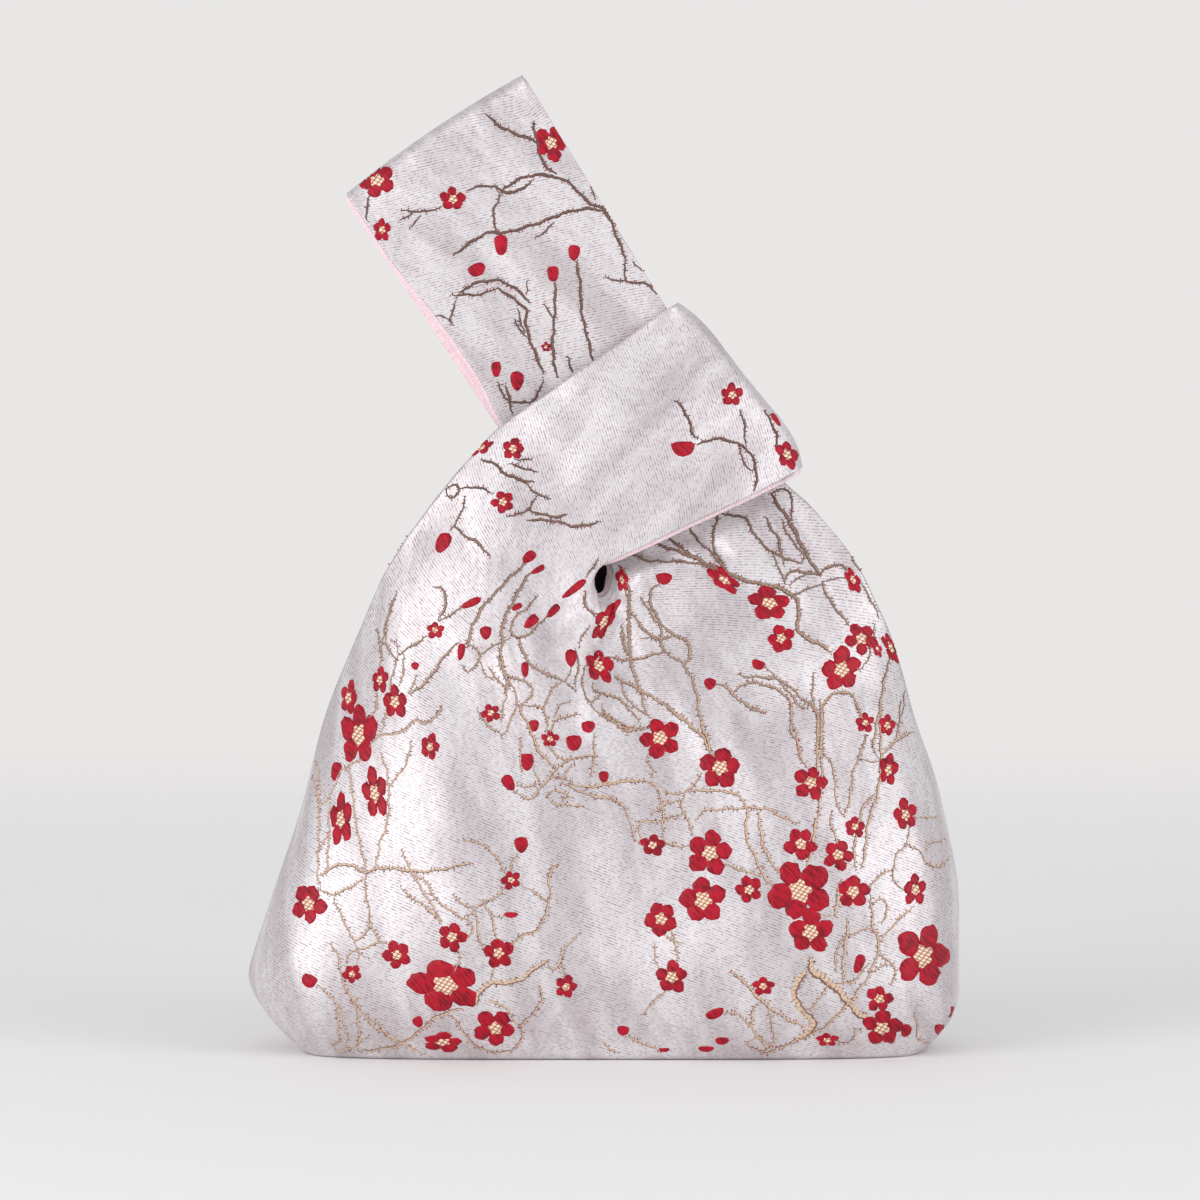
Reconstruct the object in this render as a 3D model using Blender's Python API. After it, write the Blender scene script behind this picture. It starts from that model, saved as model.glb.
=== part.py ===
"""Knot bag: two lined cloth panels, each cut with one short and one long strap.

The long straps pass through the loop of the short ones and stand up as the carrying loop.
Lengths are metres. The front faces -Y, +Z is up and the base rests on the table.
"""

import bpy
import numpy as np
from math import cos, radians, sin

# Body
BODY_WIDTH = 0.239
BODY_DEPTH = 0.088
WIDEST_HEIGHT = 0.026
BASE_WIDTH = 0.202
BASE_DEPTH = 0.070
UNDERARM_SHARE = 0.54
SHOULDER_DEPTH = 0.024

# Neck opening where the straps cross
NECK_X = 0.000
NECK_HEIGHT = 0.163
NECK_DEPTH = 0.036
NECK_REAR_DEPTH = 0.0216
HOLE_WIDTH = 0.0062
FRONT_HOLE_HEIGHT = 0.0095
BACK_HOLE_HEIGHT = 0.0030

# Straps
BAND_WIDTH = 0.068
ROOT_WIDTH = 0.064
ROOT_TILT = 26.7
KNOT_LENGTH = 0.0612
KNOT_LEAN = 38.5
KNOT_TILT = 33.9
LOOP_LEAN = 32.6
LOOP_LENGTH = 0.092
LOOP_FLARE = 0.003
LOOP_GAP = 0.008
SHOULDER_REACH = 0.0585
SHOULDER_ANGLE = 129.0
SHOULDER_CROWN = 0.0036
SHORT_LIFT = 0.0015
SHORT_CROWN = 0.0035
LONG_ROOT_CROWN = 0.0011
FOLD_BOW = 0.0018
ARMHOLE_BOW = 0.0035
FRONT_EDGE_INSET = 0.003

# Cloth
OUTER_THICKNESS = 0.0010
LINING_THICKNESS = 0.0007
CLEARANCE = 0.0003

# Folds of the front and back
PLEAT_DEPTH = 0.0035
PLEAT_WIDTH = 0.008
PLEAT_LENGTH = 0.060
FOLD_DEPTH = 0.0022

# Outline of the sides above the widest height: share of the climb, share of the way in
LEFT_OUTLINE = (
    (0.0, 0.0),
    (0.14, 0.10),
    (0.30, 0.22),
    (0.49, 0.33),
    (0.61, 0.44),
    (0.72, 0.55),
    (0.85, 0.72),
    (0.95, 0.91),
    (1.0, 1.0),
)
RIGHT_OUTLINE = (
    (0.0, 0.0),
    (0.20, 0.01),
    (0.30, 0.07),
    (0.38, 0.12),
    (0.53, 0.28),
    (0.64, 0.39),
    (0.77, 0.57),
    (0.88, 0.76),
    (1.0, 1.0),
)

# Mesh
SIDE_COLUMNS = 3
BAND_COLUMNS = 11
NECK_COLUMNS = 4
FLARE_ROWS = 4
BODY_ROWS = 11
SHORT_STATIONS = 4
TURN_STATIONS = 3
LONG_STATIONS = 8
RELAX_STEPS = 3

COLUMNS = 2 * BAND_COLUMNS + NECK_COLUMNS
STACK = OUTER_THICKNESS + CLEARANCE + LINING_THICKNESS
LONG_HALF = LOOP_GAP / 2 + CLEARANCE + LINING_THICKNESS + OUTER_THICKNESS / 2
SHORT_HALF = LONG_HALF + STACK + 3 * CLEARANCE
FOLD_MARGIN = STACK + 9 * CLEARANCE
FOLD_ROUND = 2.5 * STACK
FOLD_FULLNESS = 0.66


def direction(degrees):
    """Unit vector in the XZ plane, measured from +X towards +Z."""
    angle = radians(degrees)
    return np.array((cos(angle), 0.0, sin(angle)))


def smooth(t):
    t = np.clip(t, 0.0, 1.0)
    return t * t * (3.0 - 2.0 * t)


def mix(a, b, t):
    return a + (b - a) * t


def outline_share(table, climb):
    """Share of the way in at a share of the climb, on a curve through the table."""
    x, y = np.array(table).T
    slope = np.gradient(y, x)
    i = int(np.clip(np.searchsorted(x, climb) - 1, 0, len(x) - 2))
    step = x[i + 1] - x[i]
    t = (climb - x[i]) / step
    start = y[i] * (1 + 2 * t) * (1 - t) ** 2 + slope[i] * step * t * (1 - t) ** 2
    end = y[i + 1] * t * t * (3 - 2 * t) - slope[i + 1] * step * t * t * (1 - t)
    return start + end


def half_section(power, count):
    """Evenly spaced points of half a rounded section: X from -1 to 1, reach from 0 to 1."""
    fine = np.linspace(0.0, np.pi, 721)
    x = -np.sign(np.cos(fine)) * np.abs(np.cos(fine)) ** (2.0 / power)
    reach = np.sin(fine) ** (2.0 / power)
    length = np.concatenate(([0.0], np.cumsum(np.hypot(np.diff(x), 0.4 * np.diff(reach)))))
    at = np.linspace(0.0, length[-1], count + 1)
    return np.interp(at, length, x), np.interp(at, length, reach)


def with_depth(point, depth):
    return np.array((point[0], -depth, point[2]))


NECK = np.array((NECK_X, 0.0, NECK_HEIGHT))
SHOULDER = NECK + SHOULDER_REACH * direction(SHOULDER_ANGLE)
ROOT_INNER = NECK + np.array((HOLE_WIDTH / 2, 0.0, 0.0))
ROOT_CORNER = ROOT_INNER + ROOT_WIDTH * direction(ROOT_TILT)
KNOT_INNER = ROOT_INNER + KNOT_LENGTH * direction(90 + KNOT_LEAN)
KNOT_OUTER = KNOT_INNER + BAND_WIDTH * direction(KNOT_TILT)
LOOP_INNER = KNOT_INNER + LOOP_LENGTH * direction(90 + LOOP_LEAN)
LOOP_OUTER = KNOT_OUTER + LOOP_LENGTH * direction(90 + LOOP_LEAN)
LOOP_SPAN = (LOOP_OUTER - LOOP_INNER) / np.linalg.norm(LOOP_OUTER - LOOP_INNER)
EDGE_RUN = (KNOT_OUTER - ROOT_CORNER) / np.linalg.norm(KNOT_OUTER - ROOT_CORNER)
FOLD_RUN = np.array((EDGE_RUN[2], 0.0, -EDGE_RUN[0]))


def top_row(hole_height):
    """Where the body passes into the short strap, the neck edge and the long strap."""
    inner = NECK - np.array((HOLE_WIDTH / 2, 0.0, 0.0))
    start = with_depth(SHOULDER, SHOULDER_DEPTH / 2)
    neck_front = with_depth(inner, NECK_DEPTH / 2)
    neck_back = with_depth(ROOT_INNER, NECK_REAR_DEPTH / 2)
    end = with_depth(ROOT_CORNER, LONG_HALF)
    points = []
    for i in range(BAND_COLUMNS + 1):
        t = i / BAND_COLUMNS
        point = mix(start, neck_front, t)
        point[1] -= 4 * t * (1 - t) * SHOULDER_CROWN
        points.append(point)
    for i in range(1, NECK_COLUMNS):
        t = i / NECK_COLUMNS
        point = mix(neck_front, neck_back, t)
        point[2] -= hole_height * sin(np.pi * t)
        points.append(point)
    for i in range(BAND_COLUMNS + 1):
        t = i / BAND_COLUMNS
        point = mix(neck_back, end, t)
        point[1] -= 4 * t * (1 - t) * LONG_ROOT_CROWN
        points.append(point)
    return np.array(points)


def body_row(climb, flare):
    """One row of the body: climb above the widest height, flare below it, both 0 to 1."""
    inset = (1 - flare) ** 2
    low = mix(OUTER_THICKNESS / 2, WIDEST_HEIGHT, flare)
    left = mix(-BODY_WIDTH / 2, SHOULDER[0], outline_share(LEFT_OUTLINE, climb))
    right = mix(BODY_WIDTH / 2, ROOT_CORNER[0], outline_share(RIGHT_OUTLINE, climb))
    left += inset * (BODY_WIDTH - BASE_WIDTH) / 2
    right -= inset * (BODY_WIDTH - BASE_WIDTH) / 2
    left_height = mix(low, SHOULDER[2], climb)
    right_height = mix(low, ROOT_CORNER[2], climb)
    half_depth = BODY_DEPTH / 2 - inset * (BODY_DEPTH - BASE_DEPTH) / 2
    half_depth = mix(half_depth, NECK_DEPTH / 2, climb ** 1.7)
    opening = smooth((climb - UNDERARM_SHARE) / (1 - UNDERARM_SHARE))
    bow = ARMHOLE_BOW * sin(np.pi * opening)
    left_edge = mix(CLEARANCE / 2, SHOULDER_DEPTH / 2, opening) + bow
    right_edge = mix(CLEARANCE / 2, LONG_HALF, opening) + bow
    power = mix(4.2, 2.1, smooth(climb * 1.6))
    across, reach = half_section(power, COLUMNS)
    share = (across + 1) / 2
    x = mix(left, right, share)
    z = mix(left_height, right_height, share)
    edge = mix(left_edge, right_edge, share)
    return np.stack((x, -mix(edge, half_depth, reach), z), axis=1)


def folds(points, climb, hole_height):
    """Pleat running down from the neck opening, and the soft upright folds of the body."""
    drop = NECK_HEIGHT - hole_height - points[:, 2]
    fade = smooth(1 - drop / PLEAT_LENGTH) * smooth(climb * 3)
    pleat = np.exp(-(((points[:, 0] - NECK_X) / PLEAT_WIDTH) ** 2))
    points[:, 1] += PLEAT_DEPTH * pleat * fade
    bulge = smooth(-4 * points[:, 1] / BODY_DEPTH - 0.3)
    hold = smooth(climb * 2.5) * smooth((1 - climb) * 3) * bulge
    wave = np.sin(2 * np.pi * (points[:, 0] + 0.45 * points[:, 2]) / (0.24 * BODY_WIDTH))
    points[:, 1] += FOLD_DEPTH * wave * hold
    return points


def body_rows(hole_height):
    top = top_row(hole_height)
    last = body_row(1.0, 1.0)
    rows = []
    for i in range(FLARE_ROWS):
        rows.append(body_row(0.0, (i / FLARE_ROWS) ** 1.3))
    for i in range(BODY_ROWS + 1):
        climb = i / BODY_ROWS
        pull = smooth((climb - 0.25) / 0.75) ** 1.4
        row = body_row(climb, 1.0) + (top - last) * pull
        rows.append(folds(row, climb, hole_height) if i < BODY_ROWS else row)
    return np.array(rows)


def base_rows(rim):
    """Flat base between the two box corners, from the bottom seam out to the rim."""
    rows = []
    first, last = SIDE_COLUMNS, COLUMNS - SIDE_COLUMNS
    share = np.linspace(0.0, 1.0, last - first + 1)[:, None]
    bow = rim[first : last + 1] - mix(rim[first], rim[last], share)
    for j in range(SIDE_COLUMNS):
        straight = mix(rim[j], rim[COLUMNS - j], share)
        rows.append(straight + bow * (j / SIDE_COLUMNS))
    return rows


def short_strap(root):
    """Rows of the short strap, over the long one to its fold at the right."""
    low = ROOT_CORNER + FOLD_RUN * FOLD_MARGIN
    high = KNOT_OUTER + FOLD_RUN * FOLD_MARGIN
    rows = []
    share = np.linspace(1.0, 0.0, BAND_COLUMNS + 1)[:, None]
    crown = 4 * share * (1 - share)
    fold = mix(low, high, share) + FOLD_RUN * FOLD_BOW * crown
    for k in range(1, SHORT_STATIONS + 1):
        t = k / SHORT_STATIONS
        start = fold - FOLD_RUN * FOLD_ROUND
        start[:, 1] = -SHORT_HALF
        row = mix(root, start, t)
        row[:, 1] -= sin(np.pi * t) * (SHORT_LIFT + SHORT_CROWN * crown[:, 0])
        rows.append(row)
    for k in range(1, TURN_STATIONS + 1):
        angle = np.pi / 2 * k / TURN_STATIONS
        row = fold - FOLD_RUN * FOLD_ROUND * (1 - sin(angle) ** FOLD_FULLNESS)
        row[:, 1] = mix(-CLEARANCE / 2, -SHORT_HALF, cos(angle) ** FOLD_FULLNESS)
        rows.append(row)
    return rows


def long_strap(root, inset):
    """Rows of the long strap, through the knot and up to the fold at the loop's top."""
    turn = LOOP_GAP / 2 + STACK - OUTER_THICKNESS / 2
    share = np.linspace(0.0, 1.0, BAND_COLUMNS + 1)[:, None]
    knot = mix(KNOT_INNER, KNOT_OUTER, share)
    flare = LOOP_SPAN * LOOP_FLARE / 2
    top = mix(LOOP_INNER - flare, LOOP_OUTER + flare, share)
    run = direction(90 + LOOP_LEAN)
    rows = []
    half = LONG_STATIONS // 2
    for k in range(1, half + 1):
        t = k / half
        row = mix(root, knot, t)
        row[:, 1] = mix(root[:, 1], -LONG_HALF, smooth(t * 1.6))
        rows.append(row)
    for k in range(1, LONG_STATIONS - half + 1):
        t = k / (LONG_STATIONS - half)
        row = mix(knot, top - run * turn, t)
        row[:, 1] = -LONG_HALF
        shift = inset * sin(np.pi * min(1.0, t + 0.25)) * (1 - share)
        rows.append(row + LOOP_SPAN * shift)
    for k in range(1, TURN_STATIONS + 1):
        angle = np.pi / 2 * k / TURN_STATIONS
        row = top - run * turn * (1 - sin(angle))
        row[:, 1] = -CLEARANCE / 2 - (LONG_HALF - CLEARANCE / 2) * cos(angle)
        rows.append(row)
    return rows


class Panel:
    """Middle surface of one panel as points, faces and outward directions."""

    def __init__(self, inset, hole_height):
        self.points = []
        self.faces = []
        body = self.add_rows(body_rows(hole_height))
        rim = body[0]
        base = []
        for j, row in enumerate(base_rows(np.array(self.points)[rim])):
            inside = self.add_rows([row[1:-1]])[0]
            base.append([rim[j]] + inside + [rim[COLUMNS - j]])
        base.append(rim[SIDE_COLUMNS : COLUMNS - SIDE_COLUMNS + 1])
        self.join(base)
        self.join(body)
        top = np.array(self.points)[body[-1]]
        for rows, first in (
            (short_strap(top[: BAND_COLUMNS + 1]), 0),
            (long_strap(top[-BAND_COLUMNS - 1 :], inset), COLUMNS - BAND_COLUMNS),
        ):
            root = body[-1][first : first + BAND_COLUMNS + 1]
            strap = [root] + self.add_rows(rows)
            self.join(strap)
        self.points = np.array(self.points)
        self.flat = set(sum(base, []))
        self.relax()

    def add_rows(self, rows):
        made = []
        for row in rows:
            made.append(list(range(len(self.points), len(self.points) + len(row))))
            self.points.extend(np.array(row))
        return made

    def join(self, rows):
        for low, high in zip(rows, rows[1:]):
            for i in range(len(low) - 1):
                self.faces.append((low[i], low[i + 1], high[i + 1], high[i]))

    def edges(self):
        """Edges with one face only, in the direction of that face."""
        ends = {}
        for face in self.faces:
            for a, b in zip(face, face[1:] + face[:1]):
                ends[(a, b)] = ends.get((a, b), 0) + 1
        return [edge for edge in ends if edge[::-1] not in ends]

    def triangles(self):
        """Each face cut along its shorter diagonal, so that all layers are cut alike."""
        made = []
        for a, b, c, d in self.faces:
            one = np.linalg.norm(self.points[a] - self.points[c])
            other = np.linalg.norm(self.points[b] - self.points[d])
            if one < other:
                made += [(a, b, c), (a, c, d)]
            else:
                made += [(a, b, d), (b, c, d)]
        return made

    def relax(self):
        """Evens out the surface between its edges, with the base kept flat."""
        held = {a for a, _ in self.edges()} | self.flat
        near = {}
        for face in self.faces:
            for a, b in zip(face, face[1:] + face[:1]):
                near.setdefault(a, set()).add(b)
                near.setdefault(b, set()).add(a)
        free = [i for i in range(len(self.points)) if i not in held]
        for _ in range(RELAX_STEPS):
            moved = self.points.copy()
            for i in free:
                middle = self.points[sorted(near[i])].mean(axis=0)
                moved[i] = mix(self.points[i], middle, 0.5)
            self.points = moved

    def normals(self):
        """Outward direction at each point, turned so that no layer crosses the seam plane."""
        total = np.zeros_like(self.points)
        for face in self.faces:
            a, b, c, d = self.points[list(face)]
            total[list(face)] += np.cross(c - a, d - b)
        total /= np.linalg.norm(total, axis=1)[:, None]
        room = (np.abs(self.points[:, 1]) - CLEARANCE / 2) / STACK
        depth = np.clip(total[:, 1], -room, room)
        rest = total[:, [0, 2]]
        rest *= (np.sqrt(1 - depth ** 2) / np.linalg.norm(rest, axis=1))[:, None]
        return np.stack((rest[:, 0], depth, rest[:, 1]), axis=1)


def build_sheet(name, panel, facing, outside, inside, material):
    """One closed sheet between two distances from the middle surface, facing -1 or 1."""
    normals = panel.normals()
    mirror = np.array((1.0, -facing, 1.0))
    outer = (panel.points + normals * outside) * mirror
    inner = (panel.points + normals * inside) * mirror
    count = len(outer)
    faces = []
    for face in panel.triangles():
        faces.append(face)
        faces.append(tuple(i + count for i in reversed(face)))
    for a, b in panel.edges():
        faces.append((b, a, a + count, b + count))
    if facing > 0:
        faces = [tuple(reversed(face)) for face in faces]
    mesh = bpy.data.meshes.new(name)
    mesh.from_pydata(np.concatenate((outer, inner)).tolist(), [], faces)
    mesh.update()
    mesh.materials.append(material)
    sheet = bpy.data.objects.new(name, mesh)
    bpy.context.scene.collection.objects.link(sheet)
    return sheet


def make_material(name, colour, roughness, sheen):
    material = bpy.data.materials.new(name)
    material.use_nodes = True
    shader = material.node_tree.nodes["Principled BSDF"]
    shader.inputs["Base Color"].default_value = (*colour, 1.0)
    shader.inputs["Roughness"].default_value = roughness
    shader.inputs["Sheen Weight"].default_value = sheen
    return material


def main():
    for thing in list(bpy.data.objects):
        bpy.data.objects.remove(thing)
    brocade = make_material("brocade", (0.72, 0.66, 0.69), 0.45, 0.3)
    brocade_back = make_material("brocade_back", (0.70, 0.64, 0.67), 0.45, 0.3)
    lining = make_material("lining_front", (0.86, 0.62, 0.66), 0.7, 0.2)
    lining_back = make_material("lining_back", (0.84, 0.60, 0.64), 0.7, 0.2)
    skin = OUTER_THICKNESS / 2
    gap = -skin - CLEARANCE
    front = Panel(FRONT_EDGE_INSET, FRONT_HOLE_HEIGHT)
    back = Panel(0.0, BACK_HOLE_HEIGHT)
    build_sheet("outer_front_panel", front, -1, skin, -skin, brocade)
    build_sheet("outer_back_panel", back, 1, skin, -skin, brocade_back)
    build_sheet("lining_front_panel", front, -1, gap, gap - LINING_THICKNESS, lining)
    build_sheet("lining_back_panel", back, 1, gap, gap - LINING_THICKNESS, lining_back)


main()
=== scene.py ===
"""Knot bag of plum blossom brocade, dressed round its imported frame.

Two lined panels, each cut with one short and one long strap. Lengths are metres.
The front faces -Y and +Z is up.
"""

import logging
from dataclasses import dataclass, field
from enum import Enum
from math import cos, pi, radians, sin
from typing import List, Optional, Sequence, Tuple, Union

import bpy
import numpy as np
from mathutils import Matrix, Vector
from mathutils.bvhtree import BVHTree


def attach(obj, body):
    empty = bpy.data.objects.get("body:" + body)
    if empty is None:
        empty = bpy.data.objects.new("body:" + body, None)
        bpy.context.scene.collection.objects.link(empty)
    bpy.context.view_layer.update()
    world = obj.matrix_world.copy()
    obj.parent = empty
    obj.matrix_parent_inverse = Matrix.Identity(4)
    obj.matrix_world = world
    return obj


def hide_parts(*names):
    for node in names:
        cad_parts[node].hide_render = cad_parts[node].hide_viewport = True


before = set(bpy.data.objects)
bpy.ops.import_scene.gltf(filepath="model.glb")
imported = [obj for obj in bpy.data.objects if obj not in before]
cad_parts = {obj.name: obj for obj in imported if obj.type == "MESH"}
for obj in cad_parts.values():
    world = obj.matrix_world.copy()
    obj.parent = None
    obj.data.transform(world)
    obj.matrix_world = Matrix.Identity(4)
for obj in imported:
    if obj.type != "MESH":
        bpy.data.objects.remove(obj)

LOG = logging.getLogger("knot_bag")
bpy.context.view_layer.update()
SEED = 7
UNITS = 1e4  # Tenths of a millimetre in a metre, the unit of the tables.

Amount = Union[float, np.ndarray]
Triple = Tuple[float, float, float]
Colour = Triple
Pair = Tuple[float, float]
Rows = List[np.ndarray]
Table = Sequence[Tuple[float, ...]]
Spot = Tuple[Vector, Vector]
Found = Optional[Spot]
View = Union["FlankView", "ClothView"]
Random = np.random.Generator
Tree = bpy.types.NodeTree
Node = bpy.types.Node
Socket = bpy.types.NodeSocket


class Side(Enum):
    """Which panel of the bag a piece belongs to."""

    FRONT = -1
    BACK = 1


def direction(degrees: float) -> np.ndarray:
    """Unit vector in the XZ plane, measured from +X towards +Z."""
    angle = radians(degrees)
    return np.array((cos(angle), 0.0, sin(angle)))


def smooth(t: Amount) -> Amount:
    """Eased step from 0 to 1."""
    t = np.clip(t, 0.0, 1.0)
    return t * t * (3.0 - 2.0 * t)


def mix(a: Amount, b: Amount, t: Amount) -> Amount:
    """Straight blend of two values."""
    return a + (b - a) * t


def linear(colour: Colour) -> Tuple[float, float, float, float]:
    """Scene colour of a screen colour.

    Args:
        colour: Red, green and blue from 0 to 255.

    Returns:
        Linear red, green, blue and an alpha of 1.
    """
    parts = []
    for value in colour:
        share = value / 255
        parts.append(share / 12.92 if share <= 0.04045 else ((share + 0.055) / 1.055) ** 2.4)
    return (parts[0], parts[1], parts[2], 1.0)


def outline_share(table: Sequence[Pair], climb: float) -> float:
    """Share of the way in at a share of the climb, on a curve through the table.

    Args:
        table: Pairs of climb and share.
        climb: Share of the climb, 0 to 1.

    Returns:
        The share of the way in.
    """
    x, y = np.array(table).T
    slope = np.gradient(y, x)
    i = int(np.clip(np.searchsorted(x, climb) - 1, 0, len(x) - 2))
    step = x[i + 1] - x[i]
    t = (climb - x[i]) / step
    start = y[i] * (1 + 2 * t) * (1 - t) ** 2 + slope[i] * step * t * (1 - t) ** 2
    end = y[i + 1] * t * t * (3 - 2 * t) - slope[i + 1] * step * t * t * (1 - t)
    return float(start + end)


def half_section(power: float, count: int) -> Tuple[np.ndarray, np.ndarray]:
    """Evenly spaced points of half a rounded section.

    Args:
        power: Squareness of the section, 2 for an ellipse.
        count: Number of steps along it.

    Returns:
        X from -1 to 1, and reach from 0 to 1.
    """
    fine = np.linspace(0.0, np.pi, 721)
    x = -np.sign(np.cos(fine)) * np.abs(np.cos(fine)) ** (2.0 / power)
    reach = np.sin(fine) ** (2.0 / power)
    length = np.concatenate(([0.0], np.cumsum(np.hypot(np.diff(x), 0.4 * np.diff(reach)))))
    at = np.linspace(0.0, length[-1], count + 1)
    return np.interp(at, length, x), np.interp(at, length, reach)


def with_depth(point: np.ndarray, depth: float) -> np.ndarray:
    """The point moved to a depth in front of the seam plane."""
    return np.array((point[0], -depth, point[2]))


# Swells of the body: place, half width, half height, rise. Creases: two ends, width, depth.
# All in tenths of a millimetre, across and up in the front view.
SWELLS = (
    (70, 470, 190, 460, -46), (-420, 600, 190, 480, 24), (600, 900, 200, 330, 16),
    (480, 1610, 160, 110, 20), (-560, 1560, 300, 140, 9), (900, 420, 220, 380, 8),
    (-900, 360, 160, 260, 8), (290, 560, 120, 260, -8), (-180, 1010, 120, 200, 9),
)
CREASES = (
    (52, 1504, -22, 1320, 13, 13), (-22, 1330, -44, 1100, 28, 12),
    (-36, 1550, -150, 1390, 30, 9), (30, 1520, 130, 1250, 32, 8),
    (-60, 1600, -360, 1650, 40, 9), (-70, 1560, -480, 1450, 36, 8),
    (-120, 1500, -520, 1240, 46, 9), (150, 1680, 390, 1610, 34, 15),
    (300, 1760, 430, 1640, 34, 11), (470, 1840, 570, 1650, 38, 11),
    (660, 1880, 840, 1500, 40, 8), (700, 1550, 900, 1180, 60, 8),
    (-1190, 250, -1010, 60, 40, 12), (1180, 210, 1050, 60, 36, 10),
    (-20, 1130, -70, 700, 60, 9), (120, 1230, 330, 800, 60, 7),
)
# How far the short strap's fold stands out, from its lower end up: share, metres.
FOLD_BOW = (
    (0.0, 0.0030), (0.07, 0.0052), (0.16, 0.0062), (0.25, 0.0061), (0.38, 0.0051),
    (0.54, 0.0041), (0.80, 0.0032), (0.92, 0.0016), (1.0, -0.0006),
)
# Sharp pleats of the body: lower end, upper end, width, step up to the right. As the creases.
PLEATS = ((-26, 1310, 50, 1520, 60, 22), (250, 1640, 120, 1590, 60, 12))


@dataclass(frozen=True)
class BagCut:
    """Sizes of the bag, those of its solids with the outline eased towards the photo."""

    body_width: float = 0.239
    body_depth: float = 0.088
    widest_height: float = 0.026
    left_tuck: float = 0.019
    right_tuck: float = 0.0142
    right_ease: float = 0.0020
    base_depth: float = 0.070
    base_cloth: float = 0.04
    underarm_share: float = 0.54
    shoulder_depth: float = 0.024
    neck_height: float = 0.163
    neck_depth: float = 0.036
    neck_rear_depth: float = 0.0216
    hole_width: float = 0.0062
    band_width: float = 0.068
    root_width: float = 0.064
    root_tilt: float = 26.7
    knot_length: float = 0.0612
    knot_lean: float = 38.5
    knot_tilt: float = 33.9
    loop_lean: float = 32.6
    loop_length: float = 0.092
    loop_flare: float = 0.003
    loop_gap: float = 0.008
    loop_bow: float = 0.0016
    loop_fullness: float = 0.62
    shoulder_reach: float = 0.0585
    shoulder_angle: float = 129.0
    shoulder_crown: float = 0.0036
    short_lift: float = 0.0015
    short_crown: float = 0.0035
    long_root_crown: float = 0.0011
    fold_fullness: float = 0.66
    armhole_bow: float = 0.0035
    outer_thickness: float = 0.0010
    lining_thickness: float = 0.0007
    clearance: float = 0.0003
    pleat_depth: float = 0.0035
    pleat_width: float = 0.008
    pleat_length: float = 0.060
    fold_depth: float = 0.0022
    left_outline: Tuple[Pair, ...] = (
        (0.0, 0.0), (0.14, 0.10), (0.30, 0.22), (0.49, 0.33), (0.61, 0.44), (0.72, 0.55),
        (0.85, 0.72), (0.95, 0.91), (1.0, 1.0),
    )
    right_outline: Tuple[Pair, ...] = (
        (0.0, 0.0), (0.20, 0.01), (0.30, 0.07), (0.38, 0.12), (0.53, 0.265), (0.62, 0.33),
        (0.69, 0.395), (0.75, 0.47), (0.80, 0.53), (0.85, 0.61), (0.90, 0.72), (0.95, 0.84),
        (1.0, 1.0),
    )

    @property
    def stack(self) -> float:
        """Thickness of the brocade and its lining together."""
        return self.outer_thickness + self.clearance + self.lining_thickness

    @property
    def long_half(self) -> float:
        """Depth of the long strap's brocade in front of the seam plane."""
        cloth = self.clearance + self.lining_thickness + self.outer_thickness / 2
        return self.loop_gap / 2 + cloth

    @property
    def short_half(self) -> float:
        """Depth of the short strap's brocade in front of the seam plane."""
        return self.long_half + self.stack + 3 * self.clearance


@dataclass(frozen=True)
class Grid:
    """How finely a panel is meshed before it is subdivided."""

    side: int = 6
    band: int = 22
    neck: int = 8
    flare: int = 8
    body: int = 22
    short: int = 8
    turn: int = 5
    long: int = 16
    relax: int = 10

    @property
    def columns(self) -> int:
        """Columns across the whole body."""
        return 2 * self.band + self.neck


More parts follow.
